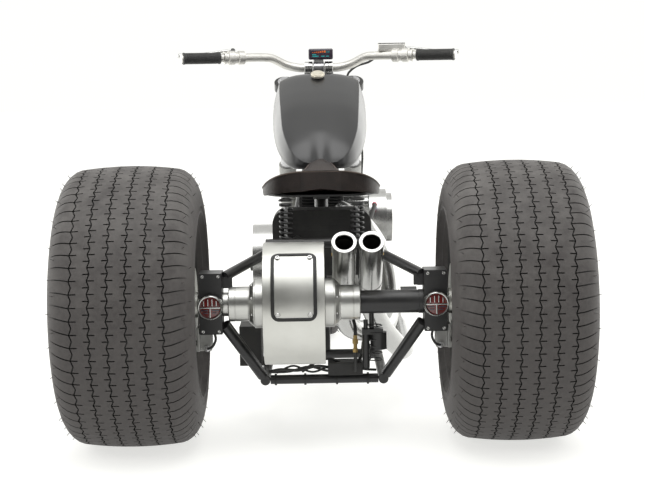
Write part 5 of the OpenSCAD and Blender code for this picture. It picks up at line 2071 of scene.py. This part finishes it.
    def lamp(self) -> None:
        """Makes the headlight: a deep shell, a bright rim, a reflector and a glass."""
        centre = on_fork(0, 168, 628)
        ahead = (0, 1, 0)
        draft = Draft(Finishes.BLACK, Finishes.POLISHED, Finishes.GLASS)
        draft.lathe(mm(
            (0, -41.5), (20, -41), (38, -38.5), (52, -28), (64, -13), (72, 3), (75.5, 20),
            (75.5, 34), (71, 34), (69, 15), (60, -4), (40, -20), (0, -26)), centre, ahead, 72, 0)
        draft.lathe(mm(
            (75.7, 22), (77.5, 23), (77.8, 26), (77.8, 40), (76.5, 45.5), (73, 47.5), (70.5, 46),
            (70, 36), (75.7, 35)), centre, ahead, 72, 1, closed=True)
        draft.lathe(mm(
            (70, 35.5), (56, 16), (38, -2), (20, -12), (9, -15), (9, 4), (6, 9), (0, 9.5)),
            centre, ahead, 64, 1)
        draft.lathe(mm(
            (70.4, 41), (62, 43.8), (46, 46.2), (24, 47.4), (0, 47.7), (0, 45.2), (24, 44.9),
            (46, 43.7), (62, 41.3), (70.4, 38.5)), centre, ahead, 64, 2)
        draft.box((-0.0135, 0.0728, 0.5605), (0.0135, 0.157, 0.5815), 0.002, 0, FORK_TURN)
        self.put("headlight_lamp", draft, "headlight")

    def fork(self) -> None:
        """Makes the yokes, the tubes, the sliders and the axle."""
        draft = Draft(Finishes.BLACK)
        draft.copy_of("fork_yokes", 0.0025)
        for side in SIDES:
            draft.lathe(mm(
                (24.9, 0), (31, 0), (31, 1), (30, 1.6), (24.9, 1.6)),
                on_fork(side * 118, 50, 752.6), ALONG_FORK, 48, 0, closed=True)
        self.put("yokes_milled", draft, "fork_yokes")
        for node, finish, bevel, word in (
                ("fork_tubes", Finishes.STEEL, 0.0015, "ground"),
                ("fork_sliders", Finishes.CAST, 0.002, "cast"),
                ("front_axle", Finishes.POLISHED, 0.0008, "dressed"),
                ("front_caliper", Finishes.CAST, 0.003, "dressed"),
                ("front_brake_line", Finishes.RUBBER, 0.0, "dressed")):
            self.shop.carried(node, STEERING_BODY, finish, bevel, word)

    def build(self) -> None:
        """Makes the whole steering."""
        self.handlebar()
        self.grips()
        self.controls()
        self.dash()
        self.lamp()
        self.fork()


class Wheels(Section):
    """The three wheels and their tyres."""

    def rear(self, side: Side) -> None:
        """Makes a rear wheel with its nuts, and its tyre.

        Args:
            side: Which of the two.
        """
        node = f"rear_wheel_{side.label}"
        s = side.value
        draft = Draft(Finishes.BRUSHED_X, Finishes.POLISHED)
        draft.copy_of(node, 0.0015)
        for vertex in draft.mesh.verts:  # so that the facets of the spindle clear its bore
            out = vertex.co - Vector((vertex.co.x, AXLE_Y, AXLE_Z))
            if abs(vertex.co.x) < 0.3264 and out.length < 0.0262:
                vertex.co -= out * 0.016
        spots = spots_round((s * 0.6175, AXLE_Y, AXLE_Z), 0.046,
                            (math.tau * (k + 0.5) / 5 for k in range(5)), s)
        self.screws(draft, 0.009, 0.012, spots, 1)
        self.shop.put(f"{node}_turned", draft, f"{node}_body", replaces=[node])
        Tyre(f"rear_tyre_{side.label}", f"{node}_body", Vector((s * 0.5, AXLE_Y, AXLE_Z)),
             radius=0.37, half=0.181, crown=0.118, crown_drop=0.008, wide_r=0.270,
             bead_r=0.2008, bead_half=0.1435,
             grooves=(-0.1125, -0.0675, -0.0225, 0.0225, 0.0675, 0.1125),
             pitches=70).build(self.shop, self.repeat)

    def front(self) -> None:
        """Makes the front wheel and its tyre."""
        self.shop.carried("front_wheel", FRONT_WHEEL_BODY, Finishes.BRUSHED_X, 0.0015, "turned")
        Tyre("front_tyre", FRONT_WHEEL_BODY, FRONT_AXLE.copy(), radius=0.33, half=0.065,
             crown=0.036, crown_drop=0.004, wide_r=0.272, bead_r=0.2188, bead_half=0.0445,
             grooves=(-0.030, 0.0, 0.030), pitches=64, groove_half=0.0018, groove_depth=0.006,
             sipe_depth=0.004, zigzag=0.002).build(self.shop, self.repeat)

    def build(self) -> None:
        """Makes all three."""
        self.rear(Side.LEFT)
        self.rear(Side.RIGHT)
        self.front()


# ---- Studio ----


class Studio:
    """The floor, the light and the camera."""

    warm = (1.0, 1.0, 0.975, 1)

    def _sheet(self, name: str, corners: Sequence[Point], colour: Colour, glow: float,
               seen: bool = False) -> None:
        """Makes a plain sheet of the studio.

        Args:
            name: Its name.
            corners: Its corners, in order.
            colour: Its colour.
            glow: How much light it gives of its own.
            seen: Whether the camera sees it.
        """
        mesh = bpy.data.meshes.new(name)
        mesh.from_pydata(list(corners), [], [(0, 1, 2, 3)])
        material = bpy.data.materials.new(name)
        material.use_nodes = True
        shader = material.node_tree.nodes["Principled BSDF"]
        for title, value in (("Base Color", (*colour, 1)), ("Roughness", 0.85),
                             ("Emission Color", self.warm), ("Emission Strength", glow)):
            shader.inputs[title].default_value = value
        mesh.materials.append(material)
        sheet = bpy.data.objects.new(name, mesh)
        bpy.context.scene.collection.objects.link(sheet)
        sheet.visible_camera = seen

    def floor(self) -> None:
        """Makes the plain pale floor, the dark card behind the camera and the side sheets."""
        self._sheet("floor", ((-30, -30, -0.0005), (30, -30, -0.0005), (30, 60, -0.0005),
                              (-30, 60, -0.0005)), (0.44, 0.44, 0.43), 0.68, True)
        self._sheet("card", ((-9, -8, -0.0005), (-9, -8, 7), (9, -8, 7), (9, -8, -0.0005)),
                    (0.10, 0.10, 0.10), 0.0)
        for side in SIDES:
            self._sheet(f"side_{side + 1}", ((side * 2.9, -0.3, 0.25), (side * 2.9, 9, 0.25),
                                             (side * 2.9, 9, 3), (side * 2.9, -0.3, 3)),
                        (0.5, 0.5, 0.5), 1.9)

    def light(self) -> None:
        """Lights the machine softly from above, from both sides and all round."""
        world = bpy.data.worlds.new("studio")
        bpy.context.scene.world = world
        world.use_nodes = True
        sky = world.node_tree.nodes["Background"]
        sky.inputs["Color"].default_value = self.warm
        sky.inputs["Strength"].default_value = 1.02
        for name, place, aim, size, power in (
                ("overhead", (0.0, -1.4, 3.8), (0.0, -0.4, 0.4), 3.0, 60),
                ("left", (-3.2, -3.0, 2.4), (0.0, -0.6, 0.5), 1.6, 26),
                ("right", (3.2, -3.0, 2.2), (0.0, -0.6, 0.5), 1.6, 16)):
            data = bpy.data.lights.new(name, "AREA")
            data.shape = "DISK"
            data.size = size
            data.energy = power
            lamp = bpy.data.objects.new(name, data)
            lamp.location = place
            lamp.rotation_euler = (Vector(aim) - Vector(place)).to_track_quat(
                "-Z", "Y").to_euler()
            bpy.context.scene.collection.objects.link(lamp)

    def camera(self) -> None:
        """Sets the camera at the photo's place, as fitted to the frame."""
        data = bpy.data.cameras.new("camera")
        data.lens = 82.83
        data.sensor_width = 36
        data.clip_end = 200
        camera = bpy.data.objects.new("camera", data)
        pitch, yaw, roll = (math.radians(a) for a in (6.014, 0.109, -0.960))
        ahead = Vector((math.sin(yaw) * math.cos(pitch), math.cos(yaw) * math.cos(pitch),
                        -math.sin(pitch)))
        right = Vector((math.cos(yaw), -math.sin(yaw), 0))
        up = right.cross(ahead)
        across = math.cos(roll) * right + math.sin(roll) * up
        upward = -math.sin(roll) * right + math.cos(roll) * up
        turn = Matrix((across, upward, -ahead)).transposed().to_4x4()
        camera.matrix_world = Matrix.Translation((-0.0067, -4.7268, 0.9420)) @ turn
        bpy.context.scene.collection.objects.link(camera)
        bpy.context.scene.camera = camera

    def build(self) -> None:
        """Sets the whole studio."""
        bpy.context.scene.view_settings.view_transform = "Standard"
        self.floor()
        self.light()
        self.camera()


def main() -> None:
    """Builds the machine and its studio."""
    logging.basicConfig(level=logging.INFO, format="%(message)s")
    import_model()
    shop = Workshop(Finishes())
    repeat = Repeat()
    for section in (Chassis, Axle, Exhausts, Engine, Saddle, FuelTank, Steering, Wheels):
        section(shop, repeat).build()
    Studio().build()


if __name__ == "__main__":
    main()
